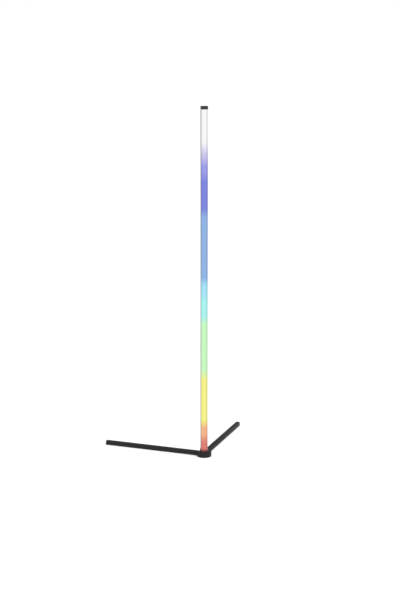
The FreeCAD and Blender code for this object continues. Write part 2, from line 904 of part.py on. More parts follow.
def pole_nodes():
    """The light bar from its foot to its cap."""
    nodes = {
        "pole_collar": pole_collar(),
        "pole_foot_plug": pole_foot_plug(),
        "foot_plug_screws": group(foot_plug_screws()),
        "joiner_screws": group(joiner_screws()),
        "diffuser": diffuser(),
        "led_strip": led_strip(),
        "led_packages": group(led_packages()),
        "led_driver_chips": group(led_driver_chips()),
        "top_cap": top_cap(),
    }
    for index, name in enumerate(section_names):
        nodes[name] = channel_section(index)
    for joint, name in zip(joint_heights(), joiner_names):
        nodes[name] = joiner_bar(joint)
    return {name: facing_front(shape) for name, shape in nodes.items()}


def main():
    """Build every node and write one STEP file for each."""
    os.makedirs("parts", exist_ok=True)
    nodes = {}
    nodes.update(hub_nodes())
    nodes.update(leg_nodes())
    nodes.update(pole_nodes())
    for name, shape in nodes.items():
        shape.exportStep("parts/" + name + ".step")
        print(name, len(shape.Solids), shape.isValid(), round(shape.Volume, 1))


main()
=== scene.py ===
"""Corner floor lamp: finishes, fine pieces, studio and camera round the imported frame.

The pole stands on a round hub with two square legs at a right angle. Its opal front is lit in
soft bands from white at the top to red at the foot. All sizes are in metres.
"""

from __future__ import annotations

import json
import logging
import math
from collections.abc import Iterable, Sequence
from dataclasses import dataclass, field
from enum import Enum

import bmesh
import bpy
from mathutils import Matrix, Vector

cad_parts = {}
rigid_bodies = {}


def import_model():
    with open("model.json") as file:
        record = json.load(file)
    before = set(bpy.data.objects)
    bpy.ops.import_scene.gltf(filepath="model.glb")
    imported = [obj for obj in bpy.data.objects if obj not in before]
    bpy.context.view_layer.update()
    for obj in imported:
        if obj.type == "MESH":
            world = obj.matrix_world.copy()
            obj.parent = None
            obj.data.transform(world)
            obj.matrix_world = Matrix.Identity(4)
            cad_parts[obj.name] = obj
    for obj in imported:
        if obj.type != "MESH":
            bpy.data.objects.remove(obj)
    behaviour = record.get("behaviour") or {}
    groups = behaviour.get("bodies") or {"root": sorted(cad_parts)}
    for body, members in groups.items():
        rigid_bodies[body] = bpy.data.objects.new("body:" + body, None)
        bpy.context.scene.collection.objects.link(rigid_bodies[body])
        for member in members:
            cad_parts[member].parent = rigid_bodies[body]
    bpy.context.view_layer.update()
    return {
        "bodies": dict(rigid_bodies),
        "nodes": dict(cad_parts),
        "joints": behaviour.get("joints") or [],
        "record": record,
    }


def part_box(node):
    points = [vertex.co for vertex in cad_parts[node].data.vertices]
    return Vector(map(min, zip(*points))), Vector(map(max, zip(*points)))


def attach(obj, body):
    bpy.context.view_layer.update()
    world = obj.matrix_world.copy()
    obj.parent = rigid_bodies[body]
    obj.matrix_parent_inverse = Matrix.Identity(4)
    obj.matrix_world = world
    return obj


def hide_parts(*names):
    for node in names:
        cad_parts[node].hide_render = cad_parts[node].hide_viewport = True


LOG = logging.getLogger("corner_lamp")
MM = 0.001
DARK = (0.0, 0.0, 0.0)
FULL_TURN = 2.0 * math.pi
FRONT_TURN = math.radians(135.0)  # turns a piece built with its front at +Y to the room's corner
SMOOTH_LIMIT = math.radians(35.0)  # sharper edges stay sharp, or take a bevel
FLAT_LIMIT = math.radians(0.5)
INTO_POLE = (-math.pi / 2.0, 0.0, 0.0)  # turns a piece that points up so that it points to +Y
UPSIDE_DOWN = (math.pi, 0.0, 0.0)
WELD = 0.001 * MM  # points closer than this are one point
THREAD_RADIUS = 1.5 * MM  # of the countersunk screws, as are the next two
SINK_RADIUS = 2.8 * MM
SINK_DEPTH = 1.3 * MM
PLAY = 0.05 * MM  # small clearance round screws and beside the snap tabs

Socket = bpy.types.NodeSocket
Material = bpy.types.Material
Mesh = bpy.types.Mesh
Pair = tuple[float, float]
Triple = tuple[float, float, float]
Outline = list[Vector]


def heights(node: str) -> Pair:
    """Lowest and highest Z of a node of the frame."""
    low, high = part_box(node)
    return low.z, high.z


def polar(radius: float, angle: float, height: float = 0.0) -> Vector:
    """Point at a distance from the Z axis, at an angle from X."""
    return Vector((radius * math.cos(angle), radius * math.sin(angle), height))


def front_turn() -> Matrix:
    """Turn from a piece's own axes, with its front at +Y, to its place in the lamp."""
    return Matrix.Rotation(FRONT_TURN, 4, "Z")


class Body(Enum):
    """Rigid bodies of the lamp, as the frame names them."""

    BASE = "base"
    RIGHT_LEG = "right_leg"
    LEFT_LEG = "left_leg"


class Slot(Enum):
    """Material slots of the record."""

    COATED = "black_coated_metal"
    ANODISED = "black_anodised_aluminium"
    OPAL = "opal_plastic"
    PLASTIC = "black_plastic"
    RUBBER = "foot_rubber"
    STEEL = "plated_steel"
    SCREWS = "black_screws"
    CASTING = "cast_aluminium"
    BRASS = "inlet_pin_brass"
    BOARD = "green_board"
    CHIP = "chip_plastic"
    TERMINAL = "terminal_plastic"
    LEADS = "lead_sleeve"
    STRIP = "white_strip"
    LED = "led_lens"


class Side(Enum):
    """The two legs, each with its quarter turns from the right leg's place."""

    RIGHT = 0
    LEFT = 1

    @property
    def body(self) -> Body:
        """Body that the leg belongs to."""
        return Body.RIGHT_LEG if self is Side.RIGHT else Body.LEFT_LEG

    @property
    def prefix(self) -> str:
        """First word of the leg's node names."""
        return self.name.lower()

    @property
    def turn(self) -> Matrix:
        """Turn from the right leg's place to this leg's place."""
        return Matrix.Rotation(self.value * math.pi / 2.0, 4, "Z")


# ---------------------------------------------------------------------------------------------
# Finishes
# ---------------------------------------------------------------------------------------------


class NodeSheet:
    """Node tree with a short call that adds a node and joins it up."""

    tree: bpy.types.NodeTree

    def join(self, source: Socket, target: Socket) -> None:
        """Link two sockets."""
        self.tree.links.new(source, target)

    def feed(self, target: Socket, value: object) -> None:
        """Give a socket a link, several links or a constant.

        Args:
            target: Socket to feed.
            value: A socket, a list of sockets or a constant.
        """
        for part in value if isinstance(value, list) else [value]:
            if isinstance(part, Socket):
                self.join(part, target)
            else:
                target.default_value = part

    def add(
        self, kind: str, result: str, settings: dict[str, str] | None = None, **sockets: object
    ) -> Socket:
        """Add a node.

        Args:
            kind: Kind of node.
            result: Name of the output that is wanted.
            settings: Options of the node.
            sockets: Socket names, with underscores for spaces, and their links or values. A
                list of links goes to a socket that takes several.

        Returns:
            The output's socket.
        """
        node = self.tree.nodes.new(kind)
        for option, value in (settings or {}).items():
            setattr(node, option, value)
        for name, value in sockets.items():
            wanted = name.replace("_", " ")
            self.feed(next(s for s in node.inputs if s.name == wanted and s.enabled), value)
        return next(s for s in node.outputs if s.name == result and s.enabled)


class ShaderSheet(NodeSheet):
    """Nodes of one material, with short calls for its patterns."""

    def __init__(self, name: str) -> None:
        """Start a material that holds one Principled shader.

        Args:
            name: Name of the material.
        """
        self.material = bpy.data.materials.new(name)
        self.material.use_nodes = True
        self.tree = self.material.node_tree
        self.tree.nodes.clear()
        self.shader = self.tree.nodes.new("ShaderNodeBsdfPrincipled")
        output = self.tree.nodes.new("ShaderNodeOutputMaterial")
        self.join(self.shader.outputs["BSDF"], output.inputs["Surface"])
        self.place = self.add("ShaderNodeTexCoord", "Object")

    def set(self, **values: Socket | float | Sequence[float]) -> None:
        """Feed the shader's own sockets.

        Args:
            values: Socket names, with underscores for spaces, and their links or values.
        """
        for name, value in values.items():
            self.feed(self.shader.inputs[name.replace("_", " ")], value)

    def scaled(self, scale: Sequence[float]) -> Socket:
        """Object coordinates scaled along X, Y and Z."""
        return self.add("ShaderNodeMapping", "Vector", Vector=self.place, Scale=scale)

    def noise(
        self, scale: float, detail: float = 3.0, roughness: float = 0.5,
        vector: Socket | None = None,
    ) -> Socket:
        """Noise value.

        Args:
            scale: Waves to the metre.
            detail: Octaves.
            roughness: Share of the finer octaves.
            vector: Coordinates, or None for the object's own.

        Returns:
            The noise factor.
        """
        return self.add("ShaderNodeTexNoise", "Fac", Scale=scale, Detail=detail,
                        Roughness=roughness, Vector=vector or self.place)

    def cells(self, scale: float) -> Socket:
        """Distance to the nearest cell's centre, with so many cells to the metre."""
        return self.add("ShaderNodeTexVoronoi", "Distance", Scale=scale, Vector=self.place)

    def maths(
        self, operation: str, first: Socket | float, second: Socket | float = 0.0,
        clamp: bool = False,
    ) -> Socket:
        """Result of one sum.

        Args:
            operation: Name of the operation.
            first: First socket or number.
            second: Second socket or number.
            clamp: Whether the result stays from 0 to 1.

        Returns:
            The result.
        """
        node = self.tree.nodes.new("ShaderNodeMath")
        node.operation = operation
        node.use_clamp = clamp
        for target, value in zip(node.inputs, (first, second)):
            self.feed(target, value)
        return node.outputs["Value"]

    def ranged(
        self, value: Socket, low: float, high: float, start: float = 0.3, end: float = 0.7
    ) -> Socket:
        """Value moved smoothly from one range to another.

        Args:
            value: Value to move.
            low: Result at the start.
            high: Result at the end.
            start: Value that gives the low result.
            end: Value that gives the high result.

        Returns:
            The moved value.
        """
        return self.add("ShaderNodeMapRange", "Result", {"interpolation_type": "SMOOTHSTEP"},
                        Value=value, From_Min=start, From_Max=end, To_Min=low, To_Max=high)

    def mixed(
        self, factor: Socket, first: Sequence[float], second: Socket | Sequence[float]
    ) -> Socket:
        """Colour mixed from two colours.

        Args:
            factor: Share of the second colour.
            first: First colour.
            second: Second colour.

        Returns:
            The mixed colour.
        """
        other = second if isinstance(second, Socket) else (*second, 1.0)
        return self.add("ShaderNodeMix", "Result", {"data_type": "RGBA"}, Factor=factor,
                        A=(*first, 1.0), B=other)

    def ramp(self, value: Socket, stops: Sequence[tuple[float, Sequence[float]]]) -> Socket:
        """Colour from a ramp.

        Args:
            value: Place on the ramp.
            stops: Places and colours, lowest first.

        Returns:
            The colour.
        """
        node = self.tree.nodes.new("ShaderNodeValToRGB")
        elements = node.color_ramp.elements
        while len(elements) < len(stops):
            elements.new(1.0)
        for element, (position, colour) in zip(elements, stops):
            element.position = position
            element.color = (*colour, 1.0)
        self.join(value, node.inputs["Fac"])
        return node.outputs["Color"]

    def along(self, angle: float) -> Socket:
        """Distance from the Z axis along a level direction.

        Args:
            angle: Angle of the direction from X.

        Returns:
            The distance.
        """
        node = self.tree.nodes.new("ShaderNodeVectorMath")
        node.operation = "DOT_PRODUCT"
        for target, value in zip(node.inputs, (self.place, polar(1.0, angle))):
            self.feed(target, value)
        return node.outputs["Value"]

    def height(self) -> Socket:
        """Height over the floor."""
        return self.add("ShaderNodeSeparateXYZ", "Z", Vector=self.place)

    def dress(
        self, pattern: Socket, colours: Sequence[Sequence[float]], sheen: Socket,
        roughness: Sequence[float],
    ) -> None:
        """Give the surface its colour and its roughness.

        Args:
            pattern: Pattern that mixes the two colours.
            colours: The two colours.
            sheen: Pattern of the roughness.
            roughness: Lowest and highest roughness.
        """
        self.set(Base_Color=self.mixed(pattern, *colours),
                 Roughness=self.ranged(sheen, *roughness))

    def bump(self, height: Socket, depth: float, strength: float = 1.0) -> None:
        """Raise the surface's grain.

        Args:
            height: Height of the grain.
            depth: Depth of the grain in metres.
            strength: Share of the bump that is used.
        """
        sockets = {"Strength": strength, "Distance": depth, "Height": height}
        coarser = self.shader.inputs["Normal"].links
        if coarser:
            sockets["Normal"] = coarser[0].from_socket
        self.set(Normal=self.add("ShaderNodeBump", "Normal", **sockets))


@dataclass(frozen=True)
class PowderCoat:
    """Fine satin powder coat with faint dust near the floor."""

    name: str = "satin black powder coat"
    colour: Triple = (0.020, 0.020, 0.0205)
    dusty: Triple = (0.032, 0.030, 0.029)
    roughness: Pair = (0.54, 0.66)
    specular: float = 0.12
    dust: float = 0.8
    dust_height: float = 18.0 * MM
    grain: float = 1400.0  # waves to the metre
    peel: float = 420.0

    def material(self) -> Material:
        """Build the material.

        Returns:
            The material.
        """
        sheet = ShaderSheet(self.name)
        sheet.set(Specular_IOR_Level=self.specular)
        low_down = sheet.ranged(sheet.height(), self.dust, 0.0, 0.0, self.dust_height)
        dust = sheet.maths("MULTIPLY", sheet.noise(18.0, detail=4.0), low_down, clamp=True)
        sheet.dress(dust, (self.colour, self.dusty), sheet.noise(60.0, detail=5.0), self.roughness)
        sheet.bump(sheet.noise(self.peel, detail=2.0), depth=0.05 * MM, strength=0.5)
        sheet.bump(sheet.noise(self.grain, roughness=0.6), depth=0.03 * MM, strength=0.6)
        return sheet.material


@dataclass(frozen=True)
class AnodisedExtrusion:
    """Black anodised aluminium with faint lines along its length."""

    name: str = "black anodised extrusion"
    colour: Triple = (0.014, 0.014, 0.015)
    streak: Triple = (0.024, 0.024, 0.026)
    roughness: Pair = (0.34, 0.46)
    metallic: float = 0.35
    specular: float = 0.35
    lines: float = 1800.0
    stretch: float = 0.012

    def material(self) -> Material:
        """Build the material.

        Returns:
            The material.
        """
        sheet = ShaderSheet(self.name)
        sheet.set(Metallic=self.metallic, Specular_IOR_Level=self.specular)
        along = sheet.scaled((1.0, 1.0, self.stretch))
        lines = sheet.noise(self.lines, detail=2.0, roughness=0.6, vector=along)
        broad = sheet.noise(self.lines / 4.0, vector=along)
        sheet.dress(lines, (self.colour, self.streak), broad, self.roughness)
        sheet.bump(lines, depth=0.012 * MM, strength=0.5)
        return sheet.material


@dataclass(frozen=True)
class MouldedPlastic:
    """Injection moulded plastic with a fine spark-eroded grain."""

    name: str
    colour: Triple = (0.014, 0.014, 0.014)
    lighter: Triple = (0.019, 0.019, 0.020)
    roughness: Pair = (0.42, 0.54)
    specular: float = 0.35
    grain: float = 2600.0
    depth: float = 0.02 * MM

    def material(self) -> Material:
        """Build the material.

        Returns:
            The material.
        """
        sheet = ShaderSheet(self.name)
        sheet.set(Specular_IOR_Level=self.specular)
        colours = (self.colour, self.lighter)
        sheet.dress(sheet.noise(90.0), colours, sheet.noise(240.0, detail=4.0), self.roughness)
        sheet.bump(sheet.cells(self.grain), self.depth, strength=0.6)
        return sheet.material


@dataclass(frozen=True)
class Rubber:
    """Soft black sheet rubber."""

    name: str = "black foot rubber"
    colour: Triple = (0.014, 0.014, 0.014)
    bloom: Triple = (0.030, 0.029, 0.028)
    roughness: Pair = (0.78, 0.92)
    specular: float = 0.2
    grain: float = 1900.0

    def material(self) -> Material:
        """Build the material.

        Returns:
            The material.
        """
        sheet = ShaderSheet(self.name)
        sheet.set(Specular_IOR_Level=self.specular)
        bloom = sheet.noise(70.0, detail=5.0, roughness=0.6)
        sheet.dress(bloom, (self.colour, self.bloom), sheet.noise(300.0), self.roughness)
        sheet.bump(sheet.noise(self.grain, roughness=0.6), depth=0.05 * MM, strength=0.7)
        return sheet.material


@dataclass(frozen=True)
class BareMetal:
    """Plated, oxide-blackened or cast metal with a worn, uneven sheen."""

    name: str
    colour: Triple
    darker: Triple
    roughness: Pair = (0.24, 0.38)
    metallic: float = 1.0
    grain: float = 900.0
    depth: float = 0.01 * MM

    def material(self) -> Material:
        """Build the material.

        Returns:
            The material.
        """
        sheet = ShaderSheet(self.name)
        sheet.set(Metallic=self.metallic)
        tarnish = sheet.noise(150.0, detail=4.0, roughness=0.6)
        sheet.dress(tarnish, (self.colour, self.darker), sheet.noise(420.0), self.roughness)
        sheet.bump(sheet.noise(self.grain, detail=4.0, roughness=0.6), self.depth, strength=0.6)
        return sheet.material


class Hue(Enum):
    """Screen colours of the lit diffuser, from 0 to 255, from the foot up."""

    RED = (226, 128, 116)
    ORANGE = (246, 182, 137)
    YELLOW = (248, 244, 137)
    GREEN = (202, 252, 195)
    CYAN = (170, 246, 241)
    SKY = (167, 230, 250)
    BLUE = (144, 182, 232)
    INDIGO = (126, 135, 226)
    VIOLET = (158, 157, 236)
    LILAC = (206, 202, 240)
    WHITE = (250, 250, 251)


@dataclass(frozen=True)
class LightBand:
    """One colour of the lit diffuser, up to a height over the floor."""

    top: float
    hue: Hue
    blend: float = 34.0 * MM  # height of the soft change to the next band


def linear(colour: Sequence[float]) -> Triple:
    """Screen colour of 0 to 255 as scene light of 0 to 1.

    Args:
        colour: Red, green and blue.

    Returns:
        The same colour in linear light.
    """
    shares = [value / 255.0 for value in colour]
    return tuple(s / 12.92 if s <= 0.04045 else ((s + 0.055) / 1.055) ** 2.4 for s in shares)


@dataclass(frozen=True)
class LitOpal:
    """Milky plastic lit from inside in soft bands, with painted shade round its front corners, most
    on the right, and dimmer beside the channel's lips from the lamp's own fall-off and painted shade.
    """

    name: str = "lit opal diffuser"
    plastic: Triple = (0.07, 0.07, 0.07)
    roughness: float = 0.42
    specular: float = 0.3
    own_light: float = 0.10  # what the studio adds to every colour
    height: float = 1.40
    front: float = 10.75 * MM
    lip: float = -3.85 * MM
    left_loss: float = 0.10  # painted shade: share of the light taken off round the left front corner
    left_reach: Pair = (3.525 * MM, 11.75 * MM)
    # painted shade round the right front corner, heavier than on the left
    right_loss: float = 0.30
    right_reach: Pair = (-9.0 * MM, 4.0 * MM)
    # light left at the lips: the lamp's own fall-off with painted shade beside the channel
    lip_light: float = 0.30
    lip_reach: float = 2.5 * MM
    bands: tuple[LightBand, ...] = (
        LightBand(0.078, Hue.RED),
        LightBand(0.137, Hue.ORANGE),
        LightBand(0.340, Hue.YELLOW, 40.0 * MM),
        LightBand(0.563, Hue.GREEN),
        LightBand(0.653, Hue.CYAN, 30.0 * MM),
        LightBand(0.717, Hue.SKY),
        LightBand(0.988, Hue.BLUE),
        LightBand(1.130, Hue.INDIGO, 36.0 * MM),
        LightBand(1.192, Hue.VIOLET, 44.0 * MM),
        LightBand(1.240, Hue.LILAC, 44.0 * MM),
        LightBand(1.400, Hue.WHITE, 30.0 * MM),
    )

    def stops(self) -> list[tuple[float, Triple]]:
        """Places and colours of the ramp, from the floor up.

        Returns:
            The stops, with their places as shares of the height.
        """
        found: list[tuple[float, Triple]] = []
        bottom = 0.0
        for index, band in enumerate(self.bands):
            light = tuple(max(0.0, value - self.own_light) for value in linear(band.hue.value))
            below = self.bands[index - 1].blend / 2.0 if index else 0.0
            above = band.blend / 2.0 if index < len(self.bands) - 1 else 0.0
            found.append(((bottom + below) / self.height, light))
            found.append(((band.top - above) / self.height, light))
            bottom = band.top
        return found

    def falloff(self, sheet: ShaderSheet) -> Socket:
        """Share of the light that shows: painted shade round the front corners, heavier on the right,
        and by the channel's lips the lamp's own fall-off with painted shade.

        Args:
            sheet: Sheet of the material.

        Returns:
            The share.
        """
        across = sheet.along(FRONT_TURN)
        outwards = sheet.along(FRONT_TURN + math.pi / 2.0)
        # painted shade round the front corners, heavier on the right
        left = sheet.ranged(across, 0.0, self.left_loss, *self.left_reach)
        right = sheet.ranged(across, self.right_loss, 0.0, *self.right_reach)
        near_corner = sheet.ranged(outwards, 0.0, 1.0, 0.25 * self.front, self.front)
        painted_corner_shade = sheet.maths("MULTIPLY", sheet.maths("ADD", left, right), near_corner)
        corner = sheet.maths("SUBTRACT", 1.0, painted_corner_shade)
        # dimmer by the lips: the lamp's own fall-off with painted shade beside the channel
        lips = sheet.ranged(outwards, self.lip_light, 1.0, self.lip, self.lip + self.lip_reach)
        return sheet.maths("MULTIPLY", corner, lips)

    def material(self) -> Material:
        """Build the material.

        Returns:
            The material.
        """
        sheet = ShaderSheet(self.name)
        sheet.set(Roughness=self.roughness, Specular_IOR_Level=self.specular,
                  Emission_Strength=1.0, Base_Color=(*self.plastic, 1.0))
        place = sheet.maths("DIVIDE", sheet.height(), self.height)
        colour = sheet.ramp(place, self.stops())
        sheet.set(Emission_Color=sheet.mixed(self.falloff(sheet), DARK, colour))
        sheet.bump(sheet.noise(500.0, detail=2.0), depth=0.01 * MM, strength=0.3)
        return sheet.material


@dataclass(frozen=True)
class LitCollar:
    """Black moulding with a painted red glow on its front rim that fades downwards, as if the red
    band above lit it.
    """

    name: str = "collar moulding with light behind its rim"
    colour: Triple = (0.016, 0.016, 0.016)
    lighter: Triple = (0.0224, 0.0224, 0.0224)
    roughness: float = 0.5
    specular: float = 0.2
    grain: float = 2600.0
    # colour of the painted red glow on the collar's front rim
    light: Triple = (0.55, 0.13, 0.14)
    top: float = 31.0 * MM
    fade: float = 4.7 * MM  # drop in which the painted glow falls to about a third
    lip: float = -3.85 * MM
    lip_reach: float = 3.0 * MM

    def material(self) -> Material:
        """Build the material.

        Returns:
            The material.
        """
        sheet = ShaderSheet(self.name)
        sheet.set(Roughness=self.roughness, Specular_IOR_Level=self.specular,
                  Emission_Strength=1.0)
        sheet.set(Base_Color=sheet.mixed(sheet.noise(90.0), self.colour, self.lighter))
        # painted glow: strongest at the top of the rim and on the front, fading downwards
        depth = sheet.maths("DIVIDE", sheet.maths("SUBTRACT", sheet.height(), self.top), self.fade)
        painted_glow_faded = sheet.maths("POWER", math.e, depth, clamp=True)
        outwards = sheet.along(FRONT_TURN + math.pi / 2.0)
        front = sheet.ranged(outwards, 0.0, 1.0, self.lip, self.lip + self.lip_reach)
        share = sheet.maths("MULTIPLY", painted_glow_faded, front)
        sheet.set(Emission_Color=sheet.mixed(share, DARK, self.light))
        sheet.bump(sheet.cells(self.grain), depth=0.02 * MM, strength=0.6)
        return sheet.material


class Finishes:
    """Every finish of the lamp, made once."""

    def __init__(self) -> None:
        """Build the materials, one for each slot."""
        recipes = {
            Slot.COATED: PowderCoat(),
            Slot.ANODISED: AnodisedExtrusion(),
            Slot.OPAL: LitOpal(),
            Slot.PLASTIC: MouldedPlastic("grained black moulding"),
            Slot.RUBBER: Rubber(),
            Slot.STEEL: BareMetal("zinc plated steel", (0.62, 0.63, 0.62), (0.50, 0.51, 0.50)),
            Slot.SCREWS: BareMetal("blackened screw steel", (0.030, 0.030, 0.032),
                                   (0.055, 0.053, 0.050), (0.34, 0.50), metallic=0.8),
            Slot.CASTING: BareMetal("plain die casting", (0.52, 0.52, 0.53), (0.42, 0.42, 0.42),
                                    (0.42, 0.60), grain=600.0, depth=0.04 * MM),
            Slot.BRASS: BareMetal("bright contact brass", (0.80, 0.62, 0.34), (0.70, 0.52, 0.26)),
            Slot.BOARD: MouldedPlastic("green board lacquer", (0.010, 0.090, 0.040),
                                       (0.014, 0.120, 0.055), (0.22, 0.36), specular=0.5,
                                       grain=900.0),
            Slot.CHIP: MouldedPlastic("chip body", (0.012, 0.012, 0.013), (0.022, 0.022, 0.024)),
            Slot.TERMINAL: MouldedPlastic("white terminal block", (0.74, 0.73, 0.68),
                                          (0.80, 0.79, 0.75), (0.28, 0.40), specular=0.5),
            Slot.LEADS: MouldedPlastic("red lead sleeve", (0.42, 0.020, 0.015),
                                       (0.50, 0.032, 0.024), (0.45, 0.60), specular=0.4,
                                       grain=1500.0),
            Slot.STRIP: MouldedPlastic("white strip lacquer", (0.76, 0.76, 0.74),
                                       (0.82, 0.82, 0.80), (0.35, 0.50), specular=0.4,
                                       grain=1200.0),
            Slot.LED: MouldedPlastic("light package resin", (0.80, 0.74, 0.48),
                                     (0.86, 0.82, 0.60), (0.16, 0.28), specular=0.5,
                                     grain=1200.0),
        }
        self.made = {slot: recipe.material() for slot, recipe in recipes.items()}
        # the collar's finish carries a painted red glow on its front rim
        self.collar = LitCollar().material()

    def __getitem__(self, slot: Slot) -> Material:
        """Material of a slot."""
        return self.made[slot]


def dress_frame(frame: dict, finishes: Finishes) -> None:
    """Give every carried-over node of the frame its finish.

    Args:
        frame: The loaded frame.
        finishes: Finishes of the lamp.
    """
    for entry in frame["record"]["subparts"]:
        node = frame["nodes"][entry["node"]]
        node.data.materials.clear()
        node.data.materials.append(finishes[Slot(entry["material_slot"])])
        LOG.info("%s is finished as %s", entry["node"], entry["material_slot"])


# ---------------------------------------------------------------------------------------------
# Mesh tools
# ---------------------------------------------------------------------------------------------


def path_outline(corners: Sequence[Triple], steps: int = 6) -> Outline:
    """Closed outline through corners, each rounded by its own radius.

    Args:
        corners: X, Y and radius of each corner.
        steps: Runs in each rounded corner.

    Returns:
        The outline's points, in the order of the corners.
    """
    points: Outline = []
    for index, (x, y, radius) in enumerate(corners):
        corner = Vector((x, y, 0.0))
        if radius == 0.0:
            points.append(corner)
            continue
        back = (Vector((*corners[index - 1][:2], 0.0)) - corner).normalized()
        ahead = (Vector((*corners[(index + 1) % len(corners)][:2], 0.0)) - corner).normalized()
        half = back.angle(ahead) / 2.0
        centre = corner + (back + ahead).normalized() * radius / math.sin(half)
        first = corner + back * radius / math.tan(half) - centre
        sweep = (math.pi - 2.0 * half) * math.copysign(1.0, back.cross(ahead).z * -1.0)
        for step in range(steps + 1):
            turn = Matrix.Rotation(sweep * step / steps, 3, "Z")
            points.append(centre + turn @ first)
    return points


def block_outline(
    half_width: float, back: float, front: float, back_radius: float, front_radius: float
) -> Outline:
    """Outline of a block with one radius at its back corners and another at its front ones.

    Args:
        half_width: Half of the block's width, along X.
        back: Lowest Y.
        front: Highest Y.
        back_radius: Radius of the two back corners.
        front_radius: Radius of the two front corners.

    Returns:
        The outline, counter-clockwise from above.
    """
    return path_outline((
        (half_width, back, back_radius), (half_width, front, front_radius),
        (-half_width, front, front_radius), (-half_width, back, back_radius),
    ))


def circle(radius: float, sides: int = 48) -> Outline:
    """Round outline about the origin."""
    return [polar(radius, FULL_TURN * side / sides) for side in range(sides)]


def polygon(radius: float, corners: int, sides: int) -> Outline:
    """Regular outline about the origin, with as many points as a circle it is joined to.

    Args:
        radius: Distance of the corners from the origin.
        corners: Number of corners.
        sides: Number of points.

    Returns:
        The outline.
    """
    side_angle = FULL_TURN / corners
    points = []
    for point in circle(1.0, sides):
        off_corner = math.atan2(point.y, point.x) % side_angle - side_angle / 2.0
        points.append(point * radius * math.cos(side_angle / 2.0) / math.cos(off_corner))
    return points


def rectangle(half_width: float, half_depth: float) -> Outline:
    """Four-cornered outline about the origin."""
    return block_outline(half_width, -half_depth, half_depth, 0.0, 0.0)


def at_height(outline: Outline, height: float) -> Outline:
    """Outline moved to a height."""
    return [Vector((point.x, point.y, height)) for point in outline]


def fillet(radius: float, steps: int = 6) -> list[Pair]:
    """Inset and drop of each step round an upper edge, from the side up to the top face."""
    angles = [math.pi / 2.0 * step / steps for step in range(steps + 1)]
    return [(radius * (1.0 - math.cos(a)), radius * (1.0 - math.sin(a))) for a in angles]


def loft(rings: Sequence[Outline], hollow: bool = False) -> Mesh:
    """Closed skin over rings that have equally many points.

    Args:
        rings: Rings from one end to the other.
        hollow: Whether the last ring joins the first, as in a sleeve; otherwise both ends
            are closed by flat faces.

    Returns:
        The mesh, with its faces outwards.
    """
    shape = bmesh.new()
    rows = [[shape.verts.new(point) for point in ring] for ring in rings]
    pairs = list(zip(rows, rows[1:]))
    if hollow:
        pairs.append((rows[-1], rows[0]))
    else:
        shape.faces.new(rows[0])
        shape.faces.new(rows[-1])
    for low, high in pairs:
        for index in range(len(low)):
            ahead = (index + 1) % len(low)
            shape.faces.new((low[index], low[ahead], high[ahead], high[index]))
    bmesh.ops.recalc_face_normals(shape, faces=shape.faces)
    mesh = bpy.data.meshes.new("loft")
    shape.to_mesh(mesh)
    shape.free()
    return mesh


def stack(*steps: tuple[Outline, float], hollow: bool = False) -> Mesh:
    """Closed skin over outlines, each at its own height, as loft makes it."""
    return loft([at_height(outline, height) for outline, height in steps], hollow)


def turned_shape(profile: Iterable[Pair], sides: int = 48) -> Mesh:
    """Round piece about the Z axis.

    Args:
        profile: Radius and height of each step, from one flat end to the other.
        sides: Sides of the round.

    Returns:
        The closed mesh.
    """
    return stack(*((circle(radius, sides), height) for radius, height in profile))


def washer(radius: float, bore: float, thickness: float) -> Mesh:
    """Flat ring with fine soft edges, its underside at z = 0.

    Args:
        radius: Outer radius.
        bore: Inner radius.
        thickness: Height of the ring.

    Returns:
        The mesh.
    """
    soft = 0.2 * thickness
    profile = ((radius - soft, 0.0), (radius, soft), (radius, thickness - soft),
               (radius - soft, thickness), (bore + soft, thickness), (bore, thickness - soft),
               (bore, soft), (bore + soft, 0.0))
    return stack(*((circle(r, 36), height) for r, height in profile), hollow=True)


def path_mesh(paths: Iterable[Outline], closed: bool = False) -> Mesh:
    """Paths as a mesh of edges.

    Args:
        paths: Points of each path.
        closed: Whether each path's last point joins its first.

    Returns:
        The mesh.
    """
    points: Outline = []
    edges: list[tuple[int, int]] = []
    for path in paths:
        start, count = len(points), len(path)
        last = count if closed else count - 1
        edges += [(start + index, start + (index + 1) % count) for index in range(last)]
        points += path
    mesh = bpy.data.meshes.new("paths")
    mesh.from_pydata(points, edges, [])
    return mesh


def joined(meshes: Iterable[Mesh]) -> Mesh:
    """Several separate closed meshes as one.

    Args:
        meshes: Meshes that don't touch.

    Returns:
        The mesh.
    """
    shape = bmesh.new()
    for mesh in meshes:
        shape.from_mesh(mesh)
    whole = bpy.data.meshes.new("group")
    shape.to_mesh(whole)
    shape.free()
    return whole


def point_mesh(places: Iterable[Vector]) -> Mesh:
    """Loose points as a mesh.

    Args:
        places: Places of the points.

    Returns:
        The mesh.
    """
    mesh = bpy.data.meshes.new("places")
    mesh.from_pydata(list(places), [], [])
    return mesh


def scene_thing(mesh: Mesh, name: str = "helper") -> bpy.types.Object:
    """Put a mesh into the scene as an object.

    Args:
        mesh: Mesh of the object.
        name: Name of the object.

    Returns:
        The object.
    """
    thing = bpy.data.objects.new(name, mesh)
    bpy.context.scene.collection.objects.link(thing)
    return thing


def baked(thing: bpy.types.Object) -> Mesh:
    """Take an object out of the scene and return its mesh with every modifier applied.

    Args:
        thing: Object to take out.

    Returns:
        The mesh.
    """
    graph = bpy.context.evaluated_depsgraph_get()
    mesh = bpy.data.meshes.new_from_object(thing.evaluated_get(graph), depsgraph=graph)
    bpy.data.objects.remove(thing)
    return mesh


def softened(mesh: Mesh, width: float, segments: int = 2) -> Mesh:
    """Mesh with a fine bevel along its sharp edges.

    Args:
        mesh: Mesh to soften.
        width: Width of the bevel.
        segments: Faces across the bevel.

    Returns:
        The softened mesh.
    """
    thing = scene_thing(mesh)
    bevel = thing.modifiers.new("soft edges", "BEVEL")
    bevel.width = width
    bevel.segments = segments
    bevel.limit_method = "ANGLE"
    bevel.angle_limit = SMOOTH_LIMIT
    bevel.use_clamp_overlap = False
    return baked(thing)


